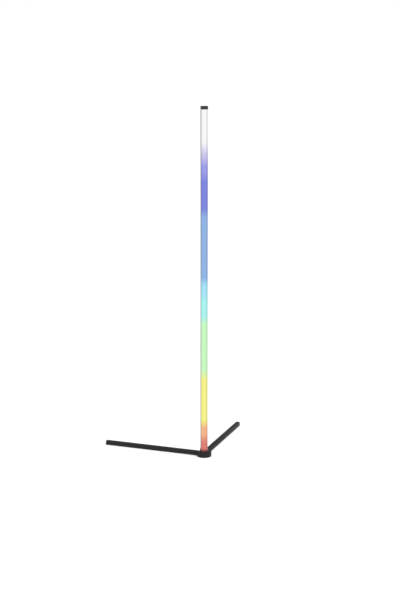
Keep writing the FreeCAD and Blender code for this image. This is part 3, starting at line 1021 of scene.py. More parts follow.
def combined(mesh: Mesh, others: Iterable[Mesh], operation: str) -> Mesh:
    """One closed mesh made of several.

    Args:
        mesh: Mesh to start from.
        others: Meshes that are joined to it or cut away from it.
        operation: UNION or DIFFERENCE.

    Returns:
        The combined mesh.
    """
    for other in others:
        thing = scene_thing(mesh)
        helper = scene_thing(other)
        step = thing.modifiers.new("combine", "BOOLEAN")
        step.operation = operation
        step.solver = "EXACT"
        step.object = helper
        mesh = baked(thing)
        bpy.data.objects.remove(helper)
    return mesh


def frame_shape(node: bpy.types.Object, soft_edge: float) -> Mesh:
    """Copy of a frame node's shape as one closed skin with softened edges.

    Args:
        node: Node of the frame.
        soft_edge: Width of the bevel, or 0 for none.

    Returns:
        The mesh.
    """
    plain = bpy.data.meshes.new(node.name)
    plain.from_pydata([v.co for v in node.data.vertices], [],
                      [tuple(p.vertices) for p in node.data.polygons])
    shape = bmesh.new()
    shape.from_mesh(plain)
    bmesh.ops.remove_doubles(shape, verts=shape.verts, dist=WELD)
    bmesh.ops.dissolve_limit(shape, angle_limit=FLAT_LIMIT, verts=shape.verts,
                             edges=shape.edges)
    shape.to_mesh(plain)
    shape.free()
    return softened(plain, soft_edge) if soft_edge else plain


class ShapeSheet(NodeSheet):
    """One Geometry Nodes tree, built by short calls and then baked to a plain mesh."""

    def __init__(self, name: str) -> None:
        """Start a tree.

        Args:
            name: Name of the tree.
        """
        self.tree = bpy.data.node_groups.new(name, "GeometryNodeTree")
        for way in ("INPUT", "OUTPUT"):
            self.tree.interface.new_socket("Geometry", in_out=way,
                                           socket_type="NodeSocketGeometry")
        self.entry = self.tree.nodes.new("NodeGroupInput")
        self.base = self.entry.outputs["Geometry"]
        self.values: dict[str, object] = {}
        self.helpers: list[bpy.types.Object] = []

    def named(self, name: str, kind: str, value: object) -> Socket:
        """Add a named input to the tree.

        Args:
            name: Name of the input.
            kind: Kind of socket, such as Float.
            value: Value that the tree is run with.

        Returns:
            The input's socket inside the tree.
        """
        item = self.tree.interface.new_socket(name, in_out="INPUT",
                                              socket_type=f"NodeSocket{kind}")
        self.values[item.identifier] = value
        return self.entry.outputs[name]

    def shape_of(self, name: str, mesh: Mesh) -> Socket:
        """Add a named input for a helper piece, and return the piece's shape.

        Args:
            name: Name of the input.
            mesh: Mesh of the helper piece.

        Returns:
            The shape inside the tree.
        """
        helper = scene_thing(mesh)
        self.helpers.append(helper)
        return self.add("GeometryNodeObjectInfo", "Geometry",
                        Object=self.named(name, "Object", helper))

    def copies(
        self, points: Socket, piece: Mesh, direction: Sequence[float] = (0.0, 0.0, 0.0),
        spin: float = 0.0, seed: int = 1,
    ) -> Socket:
        """Stand a copy of a piece on every point.

        Args:
            points: Points that take a copy.
            piece: Piece to copy.
            direction: Turn of every copy.
            spin: Largest turn of a copy about its own axis, drawn at random.
            seed: Seed of the random turns.

        Returns:
            The copies.
        """
        facing = self.add("FunctionNodeEulerToRotation", "Rotation",
                          Euler=self.named("Direction", "Vector", direction))
        placed = self.add("GeometryNodeInstanceOnPoints", "Instances", Points=points,
                          Instance=self.shape_of("Piece", piece), Rotation=facing)
        angle = self.add("FunctionNodeRandomValue", "Value", {"data_type": "FLOAT"}, Min=0.0,
                         Max=self.named("Spin", "Float", spin),
                         Seed=self.named("Seed", "Int", seed))
        own = self.add("FunctionNodeEulerToRotation", "Rotation",
                       Euler=self.add("ShaderNodeCombineXYZ", "Vector", Z=angle))
        return self.add("GeometryNodeRotateInstances", "Instances", Instances=placed,
                        Rotation=own, Local_Space=True)

    def row(self, count: int, start: Vector, step: Vector) -> Socket:
        """Points in a straight row.

        Args:
            count: Number of points.
            start: First point.
            step: Step to the next point.

        Returns:
            The points.
        """
        return self.add("GeometryNodeMeshLine", "Mesh", Count=self.named("Count", "Int", count),
                        Start_Location=self.named("Start", "Vector", start),
                        Offset=self.named("Step", "Vector", step))

    def tubes(self, radius: float, bend: float) -> Socket:
        """Round tubes along the base paths, with their corners bent round.

        Args:
            radius: Radius of the tubes.
            bend: Radius of the bends.

        Returns:
            The closed tubes.
        """
        path = self.add("GeometryNodeMeshToCurve", "Curve", Mesh=self.base)
        bent = self.add("GeometryNodeFilletCurve", "Curve", {"mode": "POLY"}, Curve=path,
                        Radius=self.named("Bend", "Float", bend), Limit_Radius=True, Count=6)
        round_section = self.add("GeometryNodeCurvePrimitiveCircle", "Curve", Resolution=16,
                                 Radius=self.named("Radius", "Float", radius))
        return self.add("GeometryNodeCurveToMesh", "Mesh", Curve=bent,
                        Profile_Curve=round_section, Fill_Caps=True)

    def extruded(self, foot: float, length: float) -> Socket:
        """Closed solid with the base outlines' section.

        Args:
            foot: Height at which the solid starts.
            length: Height of the solid.

        Returns:
            The solid.
        """
        curve = self.add("GeometryNodeMeshToCurve", "Curve", Mesh=self.base)
        flat = self.add("GeometryNodeFillCurve", "Mesh", {"mode": "TRIANGLES"}, Curve=curve)
        start = self.add("ShaderNodeCombineXYZ", "Vector", Z=self.named("Foot", "Float", foot))
        face = self.add("GeometryNodeTransform", "Geometry", Geometry=flat, Translation=start)
        rise = self.add("ShaderNodeCombineXYZ", "Vector", Z=self.named("Length", "Float", length))
        walls = self.add("GeometryNodeExtrudeMesh", "Mesh", Mesh=face, Offset=rise,
                         Offset_Scale=1.0, Individual=False)
        bottom = self.add("GeometryNodeFlipFaces", "Mesh", Mesh=face)
        both = self.add("GeometryNodeJoinGeometry", "Geometry", Geometry=[walls, bottom])
        return self.add("GeometryNodeMergeByDistance", "Geometry", Geometry=both,
                        Distance=WELD)

    def bake(self, result: Socket, finish: Material, base: Mesh | None = None) -> Mesh:
        """Run the tree and return its result as a plain mesh.

        Args:
            result: Geometry that the tree gives.
            finish: Material of the result.
            base: Mesh that the tree starts from, or None where it needs none.

        Returns:
            The mesh.
        """
        real = self.add("GeometryNodeRealizeInstances", "Geometry", Geometry=result)
        dressed = self.add("GeometryNodeSetMaterial", "Geometry", Geometry=real,
                           Material=self.named("Finish", "Material", finish))
        exit_node = self.tree.nodes.new("NodeGroupOutput")
        self.join(dressed, exit_node.inputs["Geometry"])
        thing = scene_thing(base or bpy.data.meshes.new("base"))
        shape = thing.modifiers.new("shape", "NODES")
        shape.node_group = self.tree
        for identifier, value in self.values.items():
            shape[identifier] = value
        mesh = baked(thing)
        for helper in self.helpers:
            bpy.data.objects.remove(helper)
        bpy.data.node_groups.remove(self.tree)
        return mesh


@dataclass(frozen=True)
class SocketScrew:
    """Screw with a hexagon socket: its outer face lies at z = 0 and its tip points up."""

    head: tuple[Pair, ...]  # radius and height of each step, up to the thread
    thread_radius: float
    length: float
    socket_radius: float = 1.15 * MM
    socket_depth: float = 1.0 * MM
    pitch: float = 0.5 * MM
    thread_depth: float = 0.22 * MM
    sides: int = 24

    def mesh(self) -> Mesh:
        """Build the screw.

        Returns:
            The mesh.
        """
        sides, socket = self.sides, self.socket_radius
        steps = [(circle(socket * 0.3, sides), self.socket_depth * 1.15),
                 (polygon(socket, 6, sides), self.socket_depth),
                 (polygon(socket, 6, sides), 0.1 * MM), (polygon(socket * 1.08, 6, sides), 0.0)]
        steps += [(circle(radius, sides), height) for radius, height in self.head]
        root = self.thread_radius - self.thread_depth
        height = self.head[-1][1] + self.pitch
        while height < self.length - 1.5 * self.pitch:
            steps += [(circle(root, sides), height),
                      (circle(self.thread_radius, sides), height + self.pitch / 2)]
            height += self.pitch
        steps += [(circle(root, sides), height), (circle(root * 0.8, sides), self.length)]
        return stack(*steps)


def countersunk(length: float) -> SocketScrew:
    """Countersunk screw of 3 mm, as the pole, the hub and the legs have them.

    Args:
        length: Length over all.

    Returns:
        The screw.
    """
    edge = 0.1 * MM
    head = ((SINK_RADIUS - edge, 0.0), (SINK_RADIUS, edge), (THREAD_RADIUS, SINK_DEPTH))
    return SocketScrew(head, THREAD_RADIUS, length)


# ---------------------------------------------------------------------------------------------
# Sub-assemblies
# ---------------------------------------------------------------------------------------------


@dataclass
class SubAssembly:
    """Part of the lamp that rides on one body and is built in axes of its own."""

    frame: dict
    finishes: Finishes
    body: Body = Body.BASE
    turn: Matrix = field(default_factory=Matrix)

    def hand_over(
        self, name: str, mesh: Mesh, slot: Slot, *nodes: str, finish: Material | None = None
    ) -> None:
        """Finish a mesh that is in its place and let it stand for nodes of the frame.

        Args:
            name: Name of the piece.
            mesh: Mesh of the piece.
            slot: Material slot of the piece.
            nodes: Nodes of the frame that the piece replaces.
            finish: Finish of the piece, or None for the slot's own.
        """
        mesh.materials.clear()
        mesh.materials.append(finish or self.finishes[slot])
        mesh.polygons.foreach_set("use_smooth", [True] * len(mesh.polygons))
        mesh.set_sharp_from_angle(angle=SMOOTH_LIMIT)
        mesh.name = name
        thing = scene_thing(mesh, name)
        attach(thing, self.body.value)
        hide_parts(*nodes)
        LOG.info("%s: %d faces, on %s", name, len(mesh.polygons), self.body.value)

    def turn_in(
        self, name: str, mesh: Mesh, slot: Slot, *nodes: str, finish: Material | None = None
    ) -> None:
        """Turn a mesh from the sub-assembly's own axes into its place and hand it over.

        Args:
            name: Name of the piece.
            mesh: Mesh of the piece.
            slot: Material slot of the piece.
            nodes: Nodes of the frame that the piece replaces.
            finish: Finish of the piece, or None for the slot's own.
        """
        mesh.transform(self.turn)
        self.hand_over(name, mesh, slot, *nodes, finish=finish)

    def replace(self, node: str, mesh: Mesh, slot: Slot, finish: Material | None = None) -> None:
        """Turn a mesh into its place and let it stand for one node.

        Args:
            node: Node that the piece replaces.
            mesh: Mesh in the sub-assembly's own axes.
            slot: Material slot of the piece.
            finish: Finish of the piece, or None for the slot's own.
        """
        self.turn_in(f"{node}_finished", mesh, slot, node, finish=finish)

    def soften(self, node: str, slot: Slot, soft_edge: float) -> None:
        """Replace a node by its own shape with fine soft edges."""
        mesh = frame_shape(self.frame["nodes"][node], soft_edge)
        self.hand_over(f"{node}_finished", mesh, slot, node)

    def repeat(
        self, node: str, piece: Mesh, places: Iterable[Vector], slot: Slot,
        direction: Sequence[float] = (0.0, 0.0, 0.0), spin: float = 0.0, seed: int = 1,
    ) -> None:
        """Replace a node by copies of a piece.

        Args:
            node: Node that the copies replace.
            piece: Piece to copy.
            places: Places of the copies.
            slot: Material slot of the copies.
            direction: Turn of every copy.
            spin: Largest random turn of a copy about its own axis.
            seed: Seed of the random turns.
        """
        sheet = ShapeSheet("copies")
        copies = sheet.copies(sheet.base, piece, direction, spin, seed)
        self.replace(node, sheet.bake(copies, self.finishes[slot], point_mesh(places)), slot)


@dataclass
class Pole(SubAssembly):
    """Light bar, built upright with its lit front towards +Y."""

    turn: Matrix = field(default_factory=front_turn)
    half_width: float = 11.75 * MM
    back: float = -10.75 * MM
    front: float = 10.75 * MM
    lip: float = -3.85 * MM
    front_corner: float = 5.0 * MM
    rear_corner: float = 1.0 * MM
    side_wall: float = 1.4 * MM
    back_wall: float = 1.5 * MM
    chamber: float = 2.2 * MM
    web: float = 1.0 * MM
    cover_wall: float = 1.5 * MM
    foot_wall: float = 1.2 * MM
    foot_gap: float = 0.1 * MM
    soft_edge: float = 0.2 * MM
    slip_fit: float = 0.15 * MM
    collar_wall: float = 1.55 * MM
    cap_overhang: float = 0.75 * MM
    cap_wall: float = 1.5 * MM
    rim_fillet: float = 0.8 * MM
    tab_half_width: float = 3.0 * MM
    tab_hook: float = 0.8 * MM
    tab_shelf: float = 1.15 * MM  # height of the hook over the tab's tip
    tab_root: float = 1.0 * MM  # how far the tab runs up into the collar
    joiner_steps: Pair = (12.0 * MM, 30.0 * MM)
    joiner_screw: float = 3.5 * MM
    plug_screw: float = 10.0 * MM
    plug_screw_half_spread: float = 7.0 * MM
    plug_screw_rise: float = 6.5 * MM
    lead_hole_half: float = 3.35 * MM
    lead_hole: Pair = (34.5 * MM, 38.5 * MM)
    overcut: float = 0.5 * MM  # how far a drill or cutter stands out of the wall

    @property
    def web_back(self) -> float:
        """Back of the web, which is the chamber's front."""
        return self.back + self.back_wall + self.chamber

    @property
    def web_front(self) -> float:
        """Front of the web, where the light strip lies."""
        return self.web_back + self.web

    @property
    def deck(self) -> float:
        """Height of the hub's deck."""
        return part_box("channel_lower")[0].z

    def build(self) -> None:
        """Make every piece of the light bar."""
        self.make_cover()
        for node in ("channel_lower", "channel_middle", "channel_upper"):
            self.make_channel(node)
        self.make_collar()
        self.make_cap()
        self.make_screws()
        self.soften("pole_foot_plug", Slot.CASTING, self.soft_edge)
        for node in ("joiner_lower", "joiner_upper"):
            self.soften(node, Slot.STEEL, self.soft_edge)

    def outline(self, growth: float) -> Outline:
        """Outline of the pole, grown on every side."""
        return block_outline(self.half_width + growth, self.back - growth, self.front + growth,
                             self.rear_corner + growth, self.front_corner + growth)

    def plug_outline(self, inset: float) -> Outline:
        """Outline of a plug that fits the light chamber, drawn in on every side.

        Args:
            inset: How far the outline is drawn in.

        Returns:
            The outline.
        """
        half = self.half_width - self.side_wall - self.foot_gap - self.foot_wall - self.slip_fit
        wall = self.cover_wall
        return block_outline(half - inset, self.web_front + self.slip_fit + inset,
                             self.front - wall - self.slip_fit - inset, self.soft_edge,
                             self.front_corner - wall - inset)

    def cover_outline(self) -> Outline:
        """Outline of the opal cover with its two clip feet.

        Returns:
            The outline.
        """
        foot_out = self.half_width - self.side_wall - self.foot_gap
        foot_in = foot_out - self.foot_wall
        inner = self.half_width - self.cover_wall
        shoulder = self.lip + self.cover_wall
        outside = [(foot_out, self.lip, 0.0), (self.half_width, self.lip, 0.0),
                   (self.half_width, self.front, self.front_corner)]
        inside = [(inner, self.front - self.cover_wall, self.front_corner - self.cover_wall),
                  (inner, shoulder, 0.0), (foot_in, shoulder, 0.0),
                  (foot_in, self.web_front, 0.0), (foot_out, self.web_front, 0.0)]
        left_outside = [(-x, y, radius) for x, y, radius in reversed(outside)]
        left_inside = [(-x, y, radius) for x, y, radius in reversed(inside)]
        return path_outline(outside + left_outside + left_inside + inside, 10)

    def channel_outlines(self) -> list[Outline]:
        """Outlines of the channel and of the closed chamber behind its web.

        Returns:
            The two outlines.
        """
        half, tray = self.half_width, self.half_width - self.side_wall
        channel = path_outline((
            (half, self.lip, 0.0), (tray, self.lip, 0.0), (tray, self.web_front, 0.0),
            (-tray, self.web_front, 0.0), (-tray, self.lip, 0.0), (-half, self.lip, 0.0),
            (-half, self.back, self.rear_corner), (half, self.back, self.rear_corner),
        ))
        chamber_back = self.back + self.back_wall
        return [channel, block_outline(tray, chamber_back, self.web_back, 0.0, 0.0)]

    def extrusion(self, outlines: Iterable[Outline], node: str, slot: Slot) -> Mesh:
        """Straight piece of one section, as tall as a node of the frame.

        Args:
            outlines: Outlines of the section.
            node: Node that gives the piece's height.
            slot: Material slot of the piece.

        Returns:
            The mesh, with fine soft edges.
        """
        low, high = heights(node)
        sheet = ShapeSheet("extrusion")
        solid = sheet.bake(sheet.extruded(low, high - low), self.finishes[slot],
                           path_mesh(outlines, closed=True))
        return softened(solid, self.soft_edge)

    def make_cover(self) -> None:
        """Extrude the opal cover."""
        mesh = self.extrusion([self.cover_outline()], "diffuser", Slot.OPAL)
        self.replace("diffuser", mesh, Slot.OPAL)

    def joiner_places(self) -> list[Vector]:
        """Centres of the joiner screws' heads, on the channel's back.

        Returns:
            The centres.
        """
        joints = [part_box(node)[1].z for node in ("channel_lower", "channel_middle")]
        return [Vector((0.0, self.back, joint + side * step))
                for joint in joints for side in (-1, 1) for step in self.joiner_steps]

    def plug_places(self) -> list[Vector]:
        """Centres of the foot plug screws' heads, on the channel's back.

        Returns:
            The centres.
        """
        height = self.deck + self.plug_screw_rise
        return [Vector((side * self.plug_screw_half_spread, self.back, height))
                for side in (-1, 1)]

    def drilled(self, mesh: Mesh, places: Iterable[Vector], depth: float) -> Mesh:
        """Channel with countersunk holes through its back.

        Args:
            mesh: Mesh of the channel.
            places: Centres of the holes.
            depth: Depth of the holes.

        Returns:
            The drilled mesh.
        """
        wide, narrow = SINK_RADIUS + PLAY, THREAD_RADIUS + PLAY
        drill = turned_shape(((wide, -self.overcut), (wide, 0.0), (narrow, SINK_DEPTH),
                              (narrow, depth)), 24)
        sheet = ShapeSheet("countersunk holes")
        points = sheet.shape_of("Places", point_mesh(places))
        drills = sheet.copies(points, drill, INTO_POLE)
        cut = sheet.add("GeometryNodeMeshBoolean", "Mesh",
                        {"operation": "DIFFERENCE", "solver": "EXACT"},
                        Mesh_1=sheet.base, Mesh_2=drills)
        return sheet.bake(cut, self.finishes[Slot.ANODISED], mesh)

    def make_channel(self, node: str) -> None:
        """Extrude one length of channel and drill it for its screws.

        Args:
            node: Node of the frame that the length replaces.
        """
        low, high = heights(node)
        mesh = self.extrusion(self.channel_outlines(), node, Slot.ANODISED)
        places = [place for place in self.joiner_places() if low < place.z < high]
        mesh = self.drilled(mesh, places, self.back_wall + 2.0 * self.overcut)
        if low < self.plug_places()[0].z < high:
            through = self.web_front - self.back + self.overcut
            mesh = self.drilled(mesh, self.plug_places(), through)
            slot = block_outline(self.lead_hole_half, self.web_back - self.overcut,
                                 self.web_front + self.overcut, 0.0, 0.0)
            hole = stack(*((slot, height) for height in self.lead_hole))
            mesh = combined(mesh, [hole], "DIFFERENCE")
        self.replace(node, mesh, Slot.ANODISED)

    def make_collar(self) -> None:
        """Build the sleeve round the pole's foot with its two snap tabs."""
        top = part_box("pole_collar")[1].z
        outer = self.slip_fit + self.collar_wall
        soft = self.soft_edge
        steps = [(outer - soft, self.deck), (outer, self.deck + soft)]
        steps += [(outer - inset, top - drop) for inset, drop in fillet(self.rim_fillet)]
        steps += [(self.slip_fit + soft, top), (self.slip_fit, top - soft),
                  (self.slip_fit, self.deck)]
        sleeve = stack(*((self.outline(grown), height) for grown, height in steps), hollow=True)
        tabs = [self.collar_tab(), self.collar_tab()]
        tabs[1].transform(Matrix.Rotation(math.pi, 4, "Z"))
        # the collar's finish paints a red glow on its front rim
        self.replace("pole_collar", combined(sleeve, tabs, "UNION"), Slot.PLASTIC,
                     self.finishes.collar)

    def collar_tab(self) -> Mesh:
        """Snap tab under the collar's +X side, with a ramped hook that points outwards.

        Returns:
            The mesh.
        """
        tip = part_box("pole_collar")[0].z
        inner = self.half_width + self.slip_fit + PLAY
        outer = self.half_width + self.slip_fit + self.collar_wall - PLAY
        hook, root = outer + self.tab_hook, self.deck + self.tab_root
        shelf = tip + self.tab_shelf
        side = path_outline((
            (inner, tip, self.soft_edge), (outer, tip, 0.0), (hook, shelf - 0.3 * MM, 0.0),
            (hook, shelf, 0.0), (outer, shelf, 0.0), (outer, root, 0.0), (inner, root, 0.0),
        ))
        half = self.tab_half_width
        tab = stack((side, -half), (side, half))
        tab.transform(Matrix.Rotation(math.pi / 2.0, 4, "X"))
        return tab

    def make_cap(self) -> None:
        """Build the top cap: rounded head, spigot and hollow inside."""
        spigot_end, top = heights("top_cap")
        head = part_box("channel_upper")[1].z
        soft, wall = self.soft_edge, self.cap_wall
        spigot = ((wall, top - wall), (wall, spigot_end + soft), (wall - soft, spigot_end),
                  (2.0 * soft, spigot_end), (0.0, spigot_end + 2.0 * soft), (0.0, head))
        over = self.cap_overhang
        rim = [(over - soft, head), (over, head + soft)]
        rim += [(over - inset, top - drop) for inset, drop in fillet(self.rim_fillet)]
        steps = [(self.plug_outline(inset), height) for inset, height in spigot]
        steps += [(self.outline(grown), height) for grown, height in rim]
        self.replace("top_cap", stack(*steps), Slot.PLASTIC)

    def make_screws(self) -> None:
        """Drive the screws into the channel's back."""
        sets = (("joiner_screws", self.joiner_places(), self.joiner_screw),
                ("foot_plug_screws", self.plug_places(), self.plug_screw))
        for seed, (node, places, length) in enumerate(sets):
            self.repeat(node, countersunk(length).mesh(), places, Slot.SCREWS, INTO_POLE,
                        FULL_TURN, seed)


@dataclass
class LightStrip(SubAssembly):
    """Circuit strip on the channel's web, with its light packages, driver chips and pads."""

    turn: Matrix = field(default_factory=front_turn)
    seat: float = -6.05 * MM
    half_width: float = 5.0 * MM
    thickness: float = 0.3 * MM
    corner: float = 0.05 * MM
    pitch: float = 1000.0 / 60.0 * MM  # sixty packages to the metre
    first: float = 8.0 * MM  # from the strip's lower end to the first package
    count: int = 80
    group: int = 3  # packages that share a driver chip
    package_half: float = 2.5 * MM
    package_height: float = 1.5 * MM
    package_edge: Pair = (0.12 * MM, 0.1 * MM)  # inset and drop
    package_sides: int = 12
    well_radius: float = 2.1 * MM
    well_depth: float = 0.35 * MM
    resin_rise: float = 0.1 * MM
    chip_half: Pair = (1.0 * MM, 1.5 * MM)
    chip_height: float = 0.9 * MM
    chip_leg: float = 0.15 * MM  # half of a leg's width
    chip_leg_places: tuple[float, ...] = (-0.6, 0.0, 0.6)  # shares of the chip's half length
    pad_half: float = 0.9 * MM
    pad_rise: float = 0.05 * MM
    pad_places: tuple[float, ...] = (-3.2 * MM, 0.0, 3.2 * MM)

    def build(self) -> None:
        """Make the strip and everything on it."""
        low, high = heights("led_strip")
        band = block_outline(self.half_width, self.seat, self.seat + self.thickness,
                             self.corner, self.corner)
        self.replace("led_strip", stack((band, low), (band, high)), Slot.STRIP)
        face = self.seat + self.thickness
        first = low + self.first
        groups = (self.count - 1) // self.group
        packages = self.laid(self.package(), Slot.LED, self.count, face, first, self.pitch)
        self.replace("led_packages", packages, Slot.LED)
        step = self.group * self.pitch
        chips = self.laid(self.chip(), Slot.CHIP, groups, face, first + 1.5 * self.pitch, step)
        self.replace("led_driver_chips", chips, Slot.CHIP)
        pads = self.laid(self.pads(), Slot.BRASS, groups, face, first + 2.5 * self.pitch, step)
        self.turn_in("strip_solder_pads", pads, Slot.BRASS)

    def laid(
        self, piece: Mesh, slot: Slot, count: int, face: float, first: float, step: float
    ) -> Mesh:
        """Row of equal pieces up the strip.

        Args:
            piece: Piece with its foot at z = 0.
            slot: Material slot of the pieces.
            count: Number of pieces.
            face: How far the strip's face lies in front of the pole's axis.
            first: Height of the first piece.
            step: Step to the next piece.

        Returns:
            The row as one mesh.
        """
        sheet = ShapeSheet("row on the strip")
        points = sheet.row(count, Vector((0.0, face, first)), Vector((0.0, 0.0, step)))
        return sheet.bake(sheet.copies(points, piece, INTO_POLE), self.finishes[slot])

    def package(self) -> Mesh:
        """Square light package with a round well of resin.

        Returns:
            The mesh.
        """
        sides, top = self.package_sides, self.package_height
        half, floor = self.package_half * math.sqrt(2.0), top - self.well_depth
        inset, drop = self.package_edge
        mesh = stack((polygon(half, 4, sides), 0.0), (polygon(half, 4, sides), top - drop),
                     (polygon(half - inset, 4, sides), top), (circle(self.well_radius, sides), top),
                     (circle(0.8 * self.well_radius, sides), floor),
                     (circle(0.3 * self.well_radius, sides), floor + self.resin_rise))
        mesh.transform(Matrix.Rotation(math.pi / 4.0, 4, "Z"))
        return mesh

    def chip(self) -> Mesh:
        """Driver chip with three short legs on each side.

        Returns:
            The mesh.
        """
        across, along = self.chip_half
        top, leg = self.chip_height, self.chip_leg
        body = stack((rectangle(across - leg, along), 0.1 * MM),
                     (rectangle(across - leg, along), 0.7 * top),
                     (rectangle(across - 2.0 * leg, along - leg), top))
        legs = []
        for side in (-1, 1):
            for place in self.chip_leg_places:
                foot = stack((rectangle(1.5 * leg, leg), 0.0), (rectangle(1.5 * leg, leg), 0.3 * top))
                middle = Vector((side * (across - 1.5 * leg), place * along, 0.0))
                foot.transform(Matrix.Translation(middle))
                legs.append(foot)
        return combined(body, legs, "UNION")

    def pads(self) -> Mesh:
        """Three pairs of solder pads across a cut line.

        Returns:
            The mesh.
        """
        half, rise = self.pad_half, self.pad_rise
        pads = []
        for across in self.pad_places:
            for side in (-1, 1):
                pad = stack((rectangle(half, half), -rise), (rectangle(half, half), 0.0),
                            (rectangle(0.9 * half, 0.9 * half), rise))
                pad.transform(Matrix.Translation((across, side * 1.3 * half, 0.0)))
                pads.append(pad)
        return joined(pads)


@dataclass
class Hub(SubAssembly):
    """Round hub with its base plate, foot pad, pivots and the bolt that holds the pole."""

    soft_edge: float = 0.2 * MM
    radius: float = 29.0 * MM
    flat: float = 23.976 * MM  # from the axis to the rear flat
    pad_inset: float = 0.5 * MM
    groove_depth: float = 0.35 * MM
    groove_step: float = 1.6 * MM
    grooves: int = 13
    base_screw_angle: float = math.radians(58.0)
    base_screw_distance: float = 22.3 * MM
    base_screw_length: float = 8.0 * MM
    shoulder_radius: float = 3.0 * MM
    pivot_head: Pair = (4.4 * MM, 1.4 * MM)  # radius and height
    pivot_thread: float = 1.9 * MM
    washer_radius: float = 5.5 * MM
    washer_thickness: float = 0.25 * MM
    bolt_radius: float = 3.0 * MM
    bolt_head: Pair = (5.0 * MM, 3.0 * MM)  # radius and height
    bolt_washer: Pair = (6.0 * MM, 3.2 * MM)  # radius and bore
    hexagon: Pair = (2.3 * MM, 1.6 * MM)  # radius and depth of the sockets

    def build(self) -> None:
        """Make every piece of the hub."""
        self.soften("hub_housing", Slot.COATED, self.soft_edge)
        self.soften("hub_base_plate", Slot.STEEL, self.soft_edge)
        self.make_foot_pad()
        self.make_base_screws()
        self.make_pivots()
        self.make_bolt()

    def outline(self, inset: float, steps: int = 60) -> Outline:
        """Hub's round outline with its rear flat towards -Y, drawn in by an inset.

        Args:
            inset: How far the outline is drawn in.
            steps: Runs in the round part.

        Returns:
            The outline.
        """
        radius, flat = self.radius - inset, self.flat - inset
        half_gap = math.acos(flat / radius)
        start = half_gap - math.pi / 2.0
        sweep = FULL_TURN - 2.0 * half_gap
        return [polar(radius, start + sweep * step / steps) for step in range(steps + 1)]

    def make_foot_pad(self) -> None:
        """Build the rubber pad with grooves that follow its outline underneath."""
        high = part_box("hub_foot_pad")[1].z
        soft = 0.5 * self.soft_edge
        depth, quarter = self.groove_depth, self.groove_step / 4.0
        steps = []
        for groove in range(self.grooves, 0, -1):
            middle = self.pad_inset + groove * self.groove_step
            steps += [(middle + quarter, 0.0), (middle + 0.6 * quarter, depth),
                      (middle - 0.6 * quarter, depth), (middle - quarter, 0.0)]
        for inset, height in ((soft, 0.0), (0.0, soft), (0.0, high - soft), (soft, high)):
            steps.append((self.pad_inset + inset, height))
        pad = stack(*((self.outline(inset), height) for inset, height in steps))
        pad.transform(front_turn())
        self.replace("hub_foot_pad", pad, Slot.RUBBER)

    def make_base_screws(self) -> None:
        """Drive the two screws that hold the base plate."""
        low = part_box("hub_base_screws")[0].z
        places = []
        for side in (-1, 1):
            angle = FRONT_TURN + math.pi / 2.0 + side * self.base_screw_angle
            places.append(polar(self.base_screw_distance, angle, low))
        screw = countersunk(self.base_screw_length).mesh()
        self.repeat("hub_base_screws", screw, places, Slot.SCREWS, spin=FULL_TURN, seed=11)

    def pivots(self, height: float) -> list[Vector]:
        """Centres of the two pivots at a height."""
        return [Vector((*joint["pos_m"][:2], height)) for joint in self.frame["joints"]]

    def make_pivots(self) -> None:
        """Make the shoulder screws and the slide washers of both legs."""
        low, high = heights("pivot_screws")
        tongue_low, tongue_high = heights("pivot_washers")
        shoulder, edge = tongue_high - low, 0.1 * MM
        (head, rise), (socket, depth) = self.pivot_head, self.hexagon
        profile = ((head - edge, 0.0), (head, edge), (self.shoulder_radius, rise),
                   (self.shoulder_radius, shoulder - 2.0 * edge),
                   (self.shoulder_radius - 2.0 * edge, shoulder),
                   (self.pivot_thread - 2.0 * edge, shoulder))
        screw = SocketScrew(profile, self.pivot_thread, high - low, socket_radius=socket,
                            socket_depth=depth, pitch=0.7 * MM)
        self.repeat("pivot_screws", screw.mesh(), self.pivots(low), Slot.SCREWS,
                    spin=FULL_TURN, seed=12)
        ring = washer(self.washer_radius, self.shoulder_radius + PLAY, self.washer_thickness)
        places = self.pivots(tongue_low) + self.pivots(tongue_high - self.washer_thickness)
        self.repeat("pivot_washers", ring, places, Slot.STEEL)

    def make_bolt(self) -> None:
        """Make the bolt under the deck and its washer."""
        low, high = heights("pole_bolt")
        edge = 0.3 * MM
        (head, rise), (socket, depth) = self.bolt_head, self.hexagon
        profile = ((head - edge, 0.0), (head, edge), (head, rise - edge),
                   (head - 0.2 * MM, rise), (self.bolt_radius, rise))
        bolt = SocketScrew(profile, self.bolt_radius, high - low, socket_radius=socket,
                           socket_depth=depth, pitch=1.0 * MM, thread_depth=0.4 * MM, sides=36)
        low_ring, high_ring = heights("pole_bolt_washer")
        ring = washer(*self.bolt_washer, high_ring - low_ring)
        self.repeat("pole_bolt", bolt.mesh(), [Vector((0.0, 0.0, low))], Slot.STEEL)
        self.repeat("pole_bolt_washer", ring, [Vector((0.0, 0.0, low_ring))], Slot.STEEL)


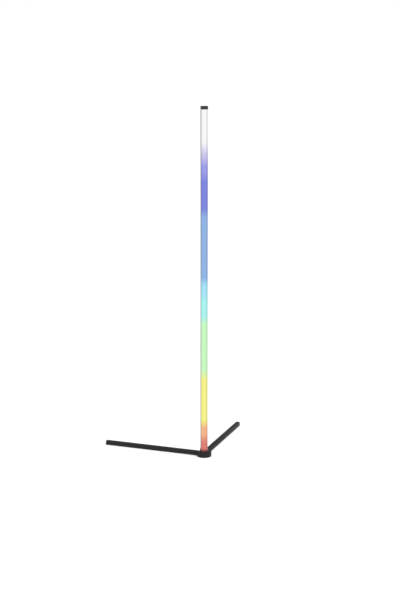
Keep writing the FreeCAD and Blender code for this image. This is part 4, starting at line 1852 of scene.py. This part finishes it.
@dataclass
class Electrics(SubAssembly):
    """Power inlet, board and leads inside the hub, built with the lamp's front at +Y."""

    turn: Matrix = field(default_factory=front_turn)
    soft_edge: float = 0.15 * MM
    inlet_face: float = -23.976 * MM
    inlet_axis: float = 11.5 * MM
    pin_radius: float = 1.0 * MM
    pin_recess: float = 0.6 * MM
    pin_length: float = 8.9 * MM
    screw_head: Pair = (1.8 * MM, 1.5 * MM)  # radius and height
    screw_thread: float = 1.0 * MM
    screw_spread: float = 10.5 * MM
    screw_place: float = 13.5 * MM
    resistor_half: Pair = (0.45 * MM, 0.8 * MM)
    resistor_height: float = 0.4 * MM
    resistor_count: int = 7
    resistor_start: Pair = (-6.0 * MM, 18.0 * MM)
    resistor_pitch: float = 2.0 * MM
    lead_radius: float = 0.7 * MM
    lead_bend: float = 1.2 * MM
    inlet_lead_places: tuple[float, ...] = (-1.2 * MM, 1.2 * MM)
    strip_lead_places: tuple[float, ...] = (-2.4 * MM, 0.0, 2.4 * MM)
    terminal_back: float = 6.0 * MM
    inlet_inner: float = -10.976 * MM
    inlet_lead_level: float = 8.6 * MM
    strip_lead_level: float = 10.3 * MM
    strip_lead_exit: float = 36.5 * MM
    chamber_middle: float = -8.15 * MM
    web_front: float = -6.05 * MM

    def build(self) -> None:
        """Make every electrical piece in the hub."""
        for node, slot in (("dc_jack_body", Slot.PLASTIC), ("controller_board", Slot.BOARD),
                           ("controller_chips", Slot.CHIP),
                           ("controller_terminal", Slot.TERMINAL)):
            self.soften(node, slot, self.soft_edge)
        self.make_pin()
        self.make_board_screws()
        self.make_resistors()
        self.make_leads()

    def make_pin(self) -> None:
        """Make the inlet's centre pin with its rounded tip."""
        radius = self.pin_radius
        pin = turned_shape(((0.3 * radius, 0.0), (0.7 * radius, 0.1 * radius),
                            (0.93 * radius, 0.35 * radius), (radius, 0.8 * radius),
                            (radius, self.pin_length)), 24)
        pin.transform(Matrix.Translation((0.0, self.inlet_face + self.pin_recess, self.inlet_axis))
                      @ Matrix.Rotation(INTO_POLE[0], 4, "X"))
        self.replace("dc_jack_pin", pin, Slot.BRASS)

    def make_board_screws(self) -> None:
        """Drive the two pan-head screws under the board."""
        low, high = heights("board_screws")
        head, rise = self.screw_head
        profile = ((head - 0.3 * MM, 0.0), (head, 0.4 * MM), (head, rise),
                   (self.screw_thread, rise))
        screw = SocketScrew(profile, self.screw_thread, high - low, socket_radius=0.8 * MM,
                            socket_depth=0.8 * MM, pitch=0.4 * MM, thread_depth=0.15 * MM,
                            sides=18)
        places = [Vector((side * self.screw_spread, self.screw_place, low)) for side in (-1, 1)]
        self.repeat("board_screws", screw.mesh(), places, Slot.STEEL, spin=FULL_TURN, seed=13)

    def make_resistors(self) -> None:
        """Lay a row of small chip resistors under the board's front edge."""
        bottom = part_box("controller_board")[0].z
        (across, along), height = self.resistor_half, self.resistor_height
        edge = 0.1 * MM
        part = stack((rectangle(across, along), 0.0), (rectangle(across, along), 0.8 * height),
                     (rectangle(across - edge, along - edge), height))
        sheet = ShapeSheet("resistors")
        points = sheet.row(self.resistor_count, Vector((*self.resistor_start, bottom)),
                           Vector((self.resistor_pitch, 0.0, 0.0)))
        mesh = sheet.bake(sheet.copies(points, part, UPSIDE_DOWN), self.finishes[Slot.CHIP])
        self.turn_in("board_resistors", mesh, Slot.CHIP)

    def make_leads(self) -> None:
        """Run the inlet's two leads and the strip's three along their paths."""
        level, turn_at = self.strip_lead_level, self.chamber_middle
        up = ((self.terminal_back, level), (turn_at, level), (turn_at, self.strip_lead_exit),
              (self.web_front, self.strip_lead_exit))
        across = ((self.inlet_inner, self.inlet_lead_level),
                  (self.terminal_back, self.inlet_lead_level))
        runs = (("inlet_leads", across, self.inlet_lead_places),
                ("strip_leads", up, self.strip_lead_places))
        for node, route, spread in runs:
            paths = [[Vector((x, y, z)) for y, z in route] for x in spread]
            sheet = ShapeSheet("leads")
            tubes = sheet.tubes(self.lead_radius, self.lead_bend)
            mesh = sheet.bake(tubes, self.finishes[Slot.LEADS], path_mesh(paths))
            self.replace(node, mesh, Slot.LEADS)


@dataclass
class Leg(SubAssembly):
    """One folding leg, built along +X as the right leg."""

    side: Side = Side.RIGHT
    soft_edge: float = 0.2 * MM
    screw_length: float = 8.0 * MM
    pad_corner: float = 3.0 * MM
    rib_depth: float = 0.4 * MM
    rib_half_width: float = 0.6 * MM
    rib_pitch: float = 2.4 * MM
    rib_margin: float = 1.2 * MM

    def __post_init__(self) -> None:
        """Take the body and the turn from the leg's side."""
        self.body = self.side.body
        self.turn = self.side.turn

    def node(self, name: str) -> str:
        """Full name of one of this leg's nodes."""
        return f"{self.side.prefix}_{name}"

    def build(self) -> None:
        """Make every piece of the leg."""
        self.soften(self.node("leg_tube"), Slot.COATED, self.soft_edge)
        self.soften(self.node("leg_insert"), Slot.CASTING, self.soft_edge)
        self.soften(self.node("leg_end_cap"), Slot.PLASTIC, self.soft_edge)
        self.make_screws()
        self.make_pad()

    def make_screws(self) -> None:
        """Drive the two screws under the leg."""
        low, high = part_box("right_leg_insert_screws")
        places = [Vector((x, 0.0, low.z))
                  for x in (low.x + SINK_RADIUS, high.x - SINK_RADIUS)]
        self.repeat(self.node("leg_insert_screws"), countersunk(self.screw_length).mesh(), places,
                    Slot.SCREWS, spin=FULL_TURN, seed=20 + self.side.value)

    def pad_outline(self, half_length: float, half_width: float, inset: float) -> Outline:
        """Outline of the pad about its own middle, drawn in on every side.

        Args:
            half_length: Half of the pad's length.
            half_width: Half of the pad's width.
            inset: How far the outline is drawn in.

        Returns:
            The outline.
        """
        corner, width = self.pad_corner - inset, half_width - inset
        return block_outline(half_length - inset, -width, width, corner, corner)

    def make_pad(self) -> None:
        """Build the rubber pad under the tip: a soft-edged sheet with ribs underneath."""
        low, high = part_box("right_leg_foot_pad")
        half, middle = high.y, (low.x + high.x) / 2.0
        soft, depth = 0.5 * self.soft_edge, self.rib_depth
        inner, outer = (self.pad_outline(high.x - middle, half, inset) for inset in (soft, 0.0))
        pad = stack((inner, depth), (outer, depth + soft), (outer, high.z - soft), (inner, high.z))
        pad.transform(Matrix.Translation((middle, 0.0, 0.0)))
        length = half - self.rib_margin
        rib = stack((rectangle(0.7 * self.rib_half_width, length), 0.0),
                    (rectangle(self.rib_half_width, length), 0.5 * depth),
                    (rectangle(self.rib_half_width, length), 1.4 * depth))
        count = int((high.x - low.x - 2.0 * self.pad_corner) / self.rib_pitch) + 1
        start = Vector((middle - self.rib_pitch * (count - 1) / 2.0, 0.0, 0.0))
        sheet = ShapeSheet("ribbed pad")
        ribs = sheet.copies(sheet.row(count, start, Vector((self.rib_pitch, 0.0, 0.0))), rib)
        whole = sheet.add("GeometryNodeMeshBoolean", "Mesh",
                          {"operation": "UNION", "solver": "EXACT"}, Mesh=[sheet.base, ribs])
        mesh = sheet.bake(whole, self.finishes[Slot.RUBBER], pad)
        self.replace(self.node("leg_foot_pad"), mesh, Slot.RUBBER)


# ---------------------------------------------------------------------------------------------
# Studio
# ---------------------------------------------------------------------------------------------


@dataclass
class Studio:
    """Pale floor, soft light and the camera of the photograph."""

    floor_half: float = 400.0
    floor_colour: Triple = (0.92, 0.92, 0.92)
    floor_light: float = 0.12
    world_light: float = 0.52
    sky_light: float = 2.1
    sky_spread: float = math.radians(75.0)
    sky_place: Triple = (-1.2, -2.0, 4.0)
    camera_place: Triple = (-4.786, -1.733, 1.734)
    camera_target: Triple = (-0.0051, 0.0141, 0.641)
    lens: float = 79.25
    softboxes: tuple[tuple[str, Triple, float, float], ...] = (
        ("key softbox", (-2.2, -3.6, 3.4), 2.4, 30.0),
        ("back softbox", (2.6, 2.8, 3.4), 2.6, 10.0),
    )

    def build(self) -> None:
        """Make the floor, the world, the lights and the camera."""
        self.make_floor()
        self.make_world()
        self.make_sky()
        for name, place, width, power in self.softboxes:
            self.make_softbox(name, Vector(place), width, power)
        self.make_camera()
        bpy.context.scene.view_settings.view_transform = "Standard"

    def make_floor(self) -> None:
        """Lay a wide pale floor."""
        mesh = bpy.data.meshes.new("pale_floor")
        half = self.floor_half
        corners = [(-half, -half, 0.0), (half, -half, 0.0), (half, half, 0.0), (-half, half, 0.0)]
        mesh.from_pydata(corners, [], [(0, 1, 2, 3)])
        floor = scene_thing(mesh, "pale_floor")
        sheet = ShaderSheet("pale floor")
        sheet.set(Roughness=0.9, Specular_IOR_Level=0.1, Emission_Strength=self.floor_light,
                  Base_Color=(*self.floor_colour, 1.0), Emission_Color=(1.0, 1.0, 1.0, 1.0))
        mesh.materials.append(sheet.material)

    def make_world(self) -> None:
        """Surround the lamp with even light that the camera sees as white."""
        world = bpy.data.worlds.new("studio")
        world.use_nodes = True
        tree = world.node_tree
        tree.nodes.clear()
        output = tree.nodes.new("ShaderNodeOutputWorld")
        mix = tree.nodes.new("ShaderNodeMixShader")
        path = tree.nodes.new("ShaderNodeLightPath")
        tree.links.new(path.outputs["Is Camera Ray"], mix.inputs["Fac"])
        for index, strength in ((1, self.world_light), (2, 1.0)):
            background = tree.nodes.new("ShaderNodeBackground")
            background.inputs["Color"].default_value = (1.0, 1.0, 1.0, 1.0)
            background.inputs["Strength"].default_value = strength
            tree.links.new(background.outputs["Background"], mix.inputs[index])
        tree.links.new(mix.outputs["Shader"], output.inputs["Surface"])
        bpy.context.scene.world = world

    def make_sky(self) -> None:
        """Light the whole floor evenly from a very wide, soft source overhead."""
        light = bpy.data.lights.new("wide sky", "SUN")
        light.energy = self.sky_light
        light.angle = self.sky_spread
        thing = bpy.data.objects.new("wide sky", light)
        thing.rotation_euler = Vector(self.sky_place).to_track_quat("Z", "Y").to_euler()
        bpy.context.scene.collection.objects.link(thing)

    def make_softbox(self, name: str, place: Vector, width: float, power: float) -> None:
        """Hang a square softbox that points at the middle of the pole.

        Args:
            name: Name of the light.
            place: Where it hangs.
            width: Width of its face.
            power: Power in watts.
        """
        light = bpy.data.lights.new(name, "AREA")
        light.shape = "SQUARE"
        light.size = width
        light.energy = power
        thing = bpy.data.objects.new(name, light)
        thing.location = place
        aim = Vector((0.0, 0.0, 0.6)) - place
        thing.rotation_euler = aim.to_track_quat("-Z", "Y").to_euler()
        bpy.context.scene.collection.objects.link(thing)

    def make_camera(self) -> None:
        """Place the camera of the photograph."""
        camera = bpy.data.cameras.new("photo camera")
        camera.lens = self.lens
        thing = bpy.data.objects.new("photo camera", camera)
        thing.location = self.camera_place
        aim = Vector(self.camera_target) - Vector(self.camera_place)
        thing.rotation_euler = aim.to_track_quat("-Z", "Y").to_euler()
        bpy.context.scene.collection.objects.link(thing)
        bpy.context.scene.camera = thing


def main() -> None:
    """Load the frame, dress it, build the fine pieces and set up the studio."""
    logging.basicConfig(level=logging.INFO, format="%(name)s: %(message)s")
    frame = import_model()
    Studio().build()
    finishes = Finishes()
    dress_frame(frame, finishes)
    sub_assemblies = [Pole(frame, finishes), LightStrip(frame, finishes), Hub(frame, finishes),
                      Electrics(frame, finishes)]
    sub_assemblies += [Leg(frame, finishes, side=side) for side in Side]
    for sub_assembly in sub_assemblies:
        sub_assembly.build()


if __name__ == "__main__":
    main()
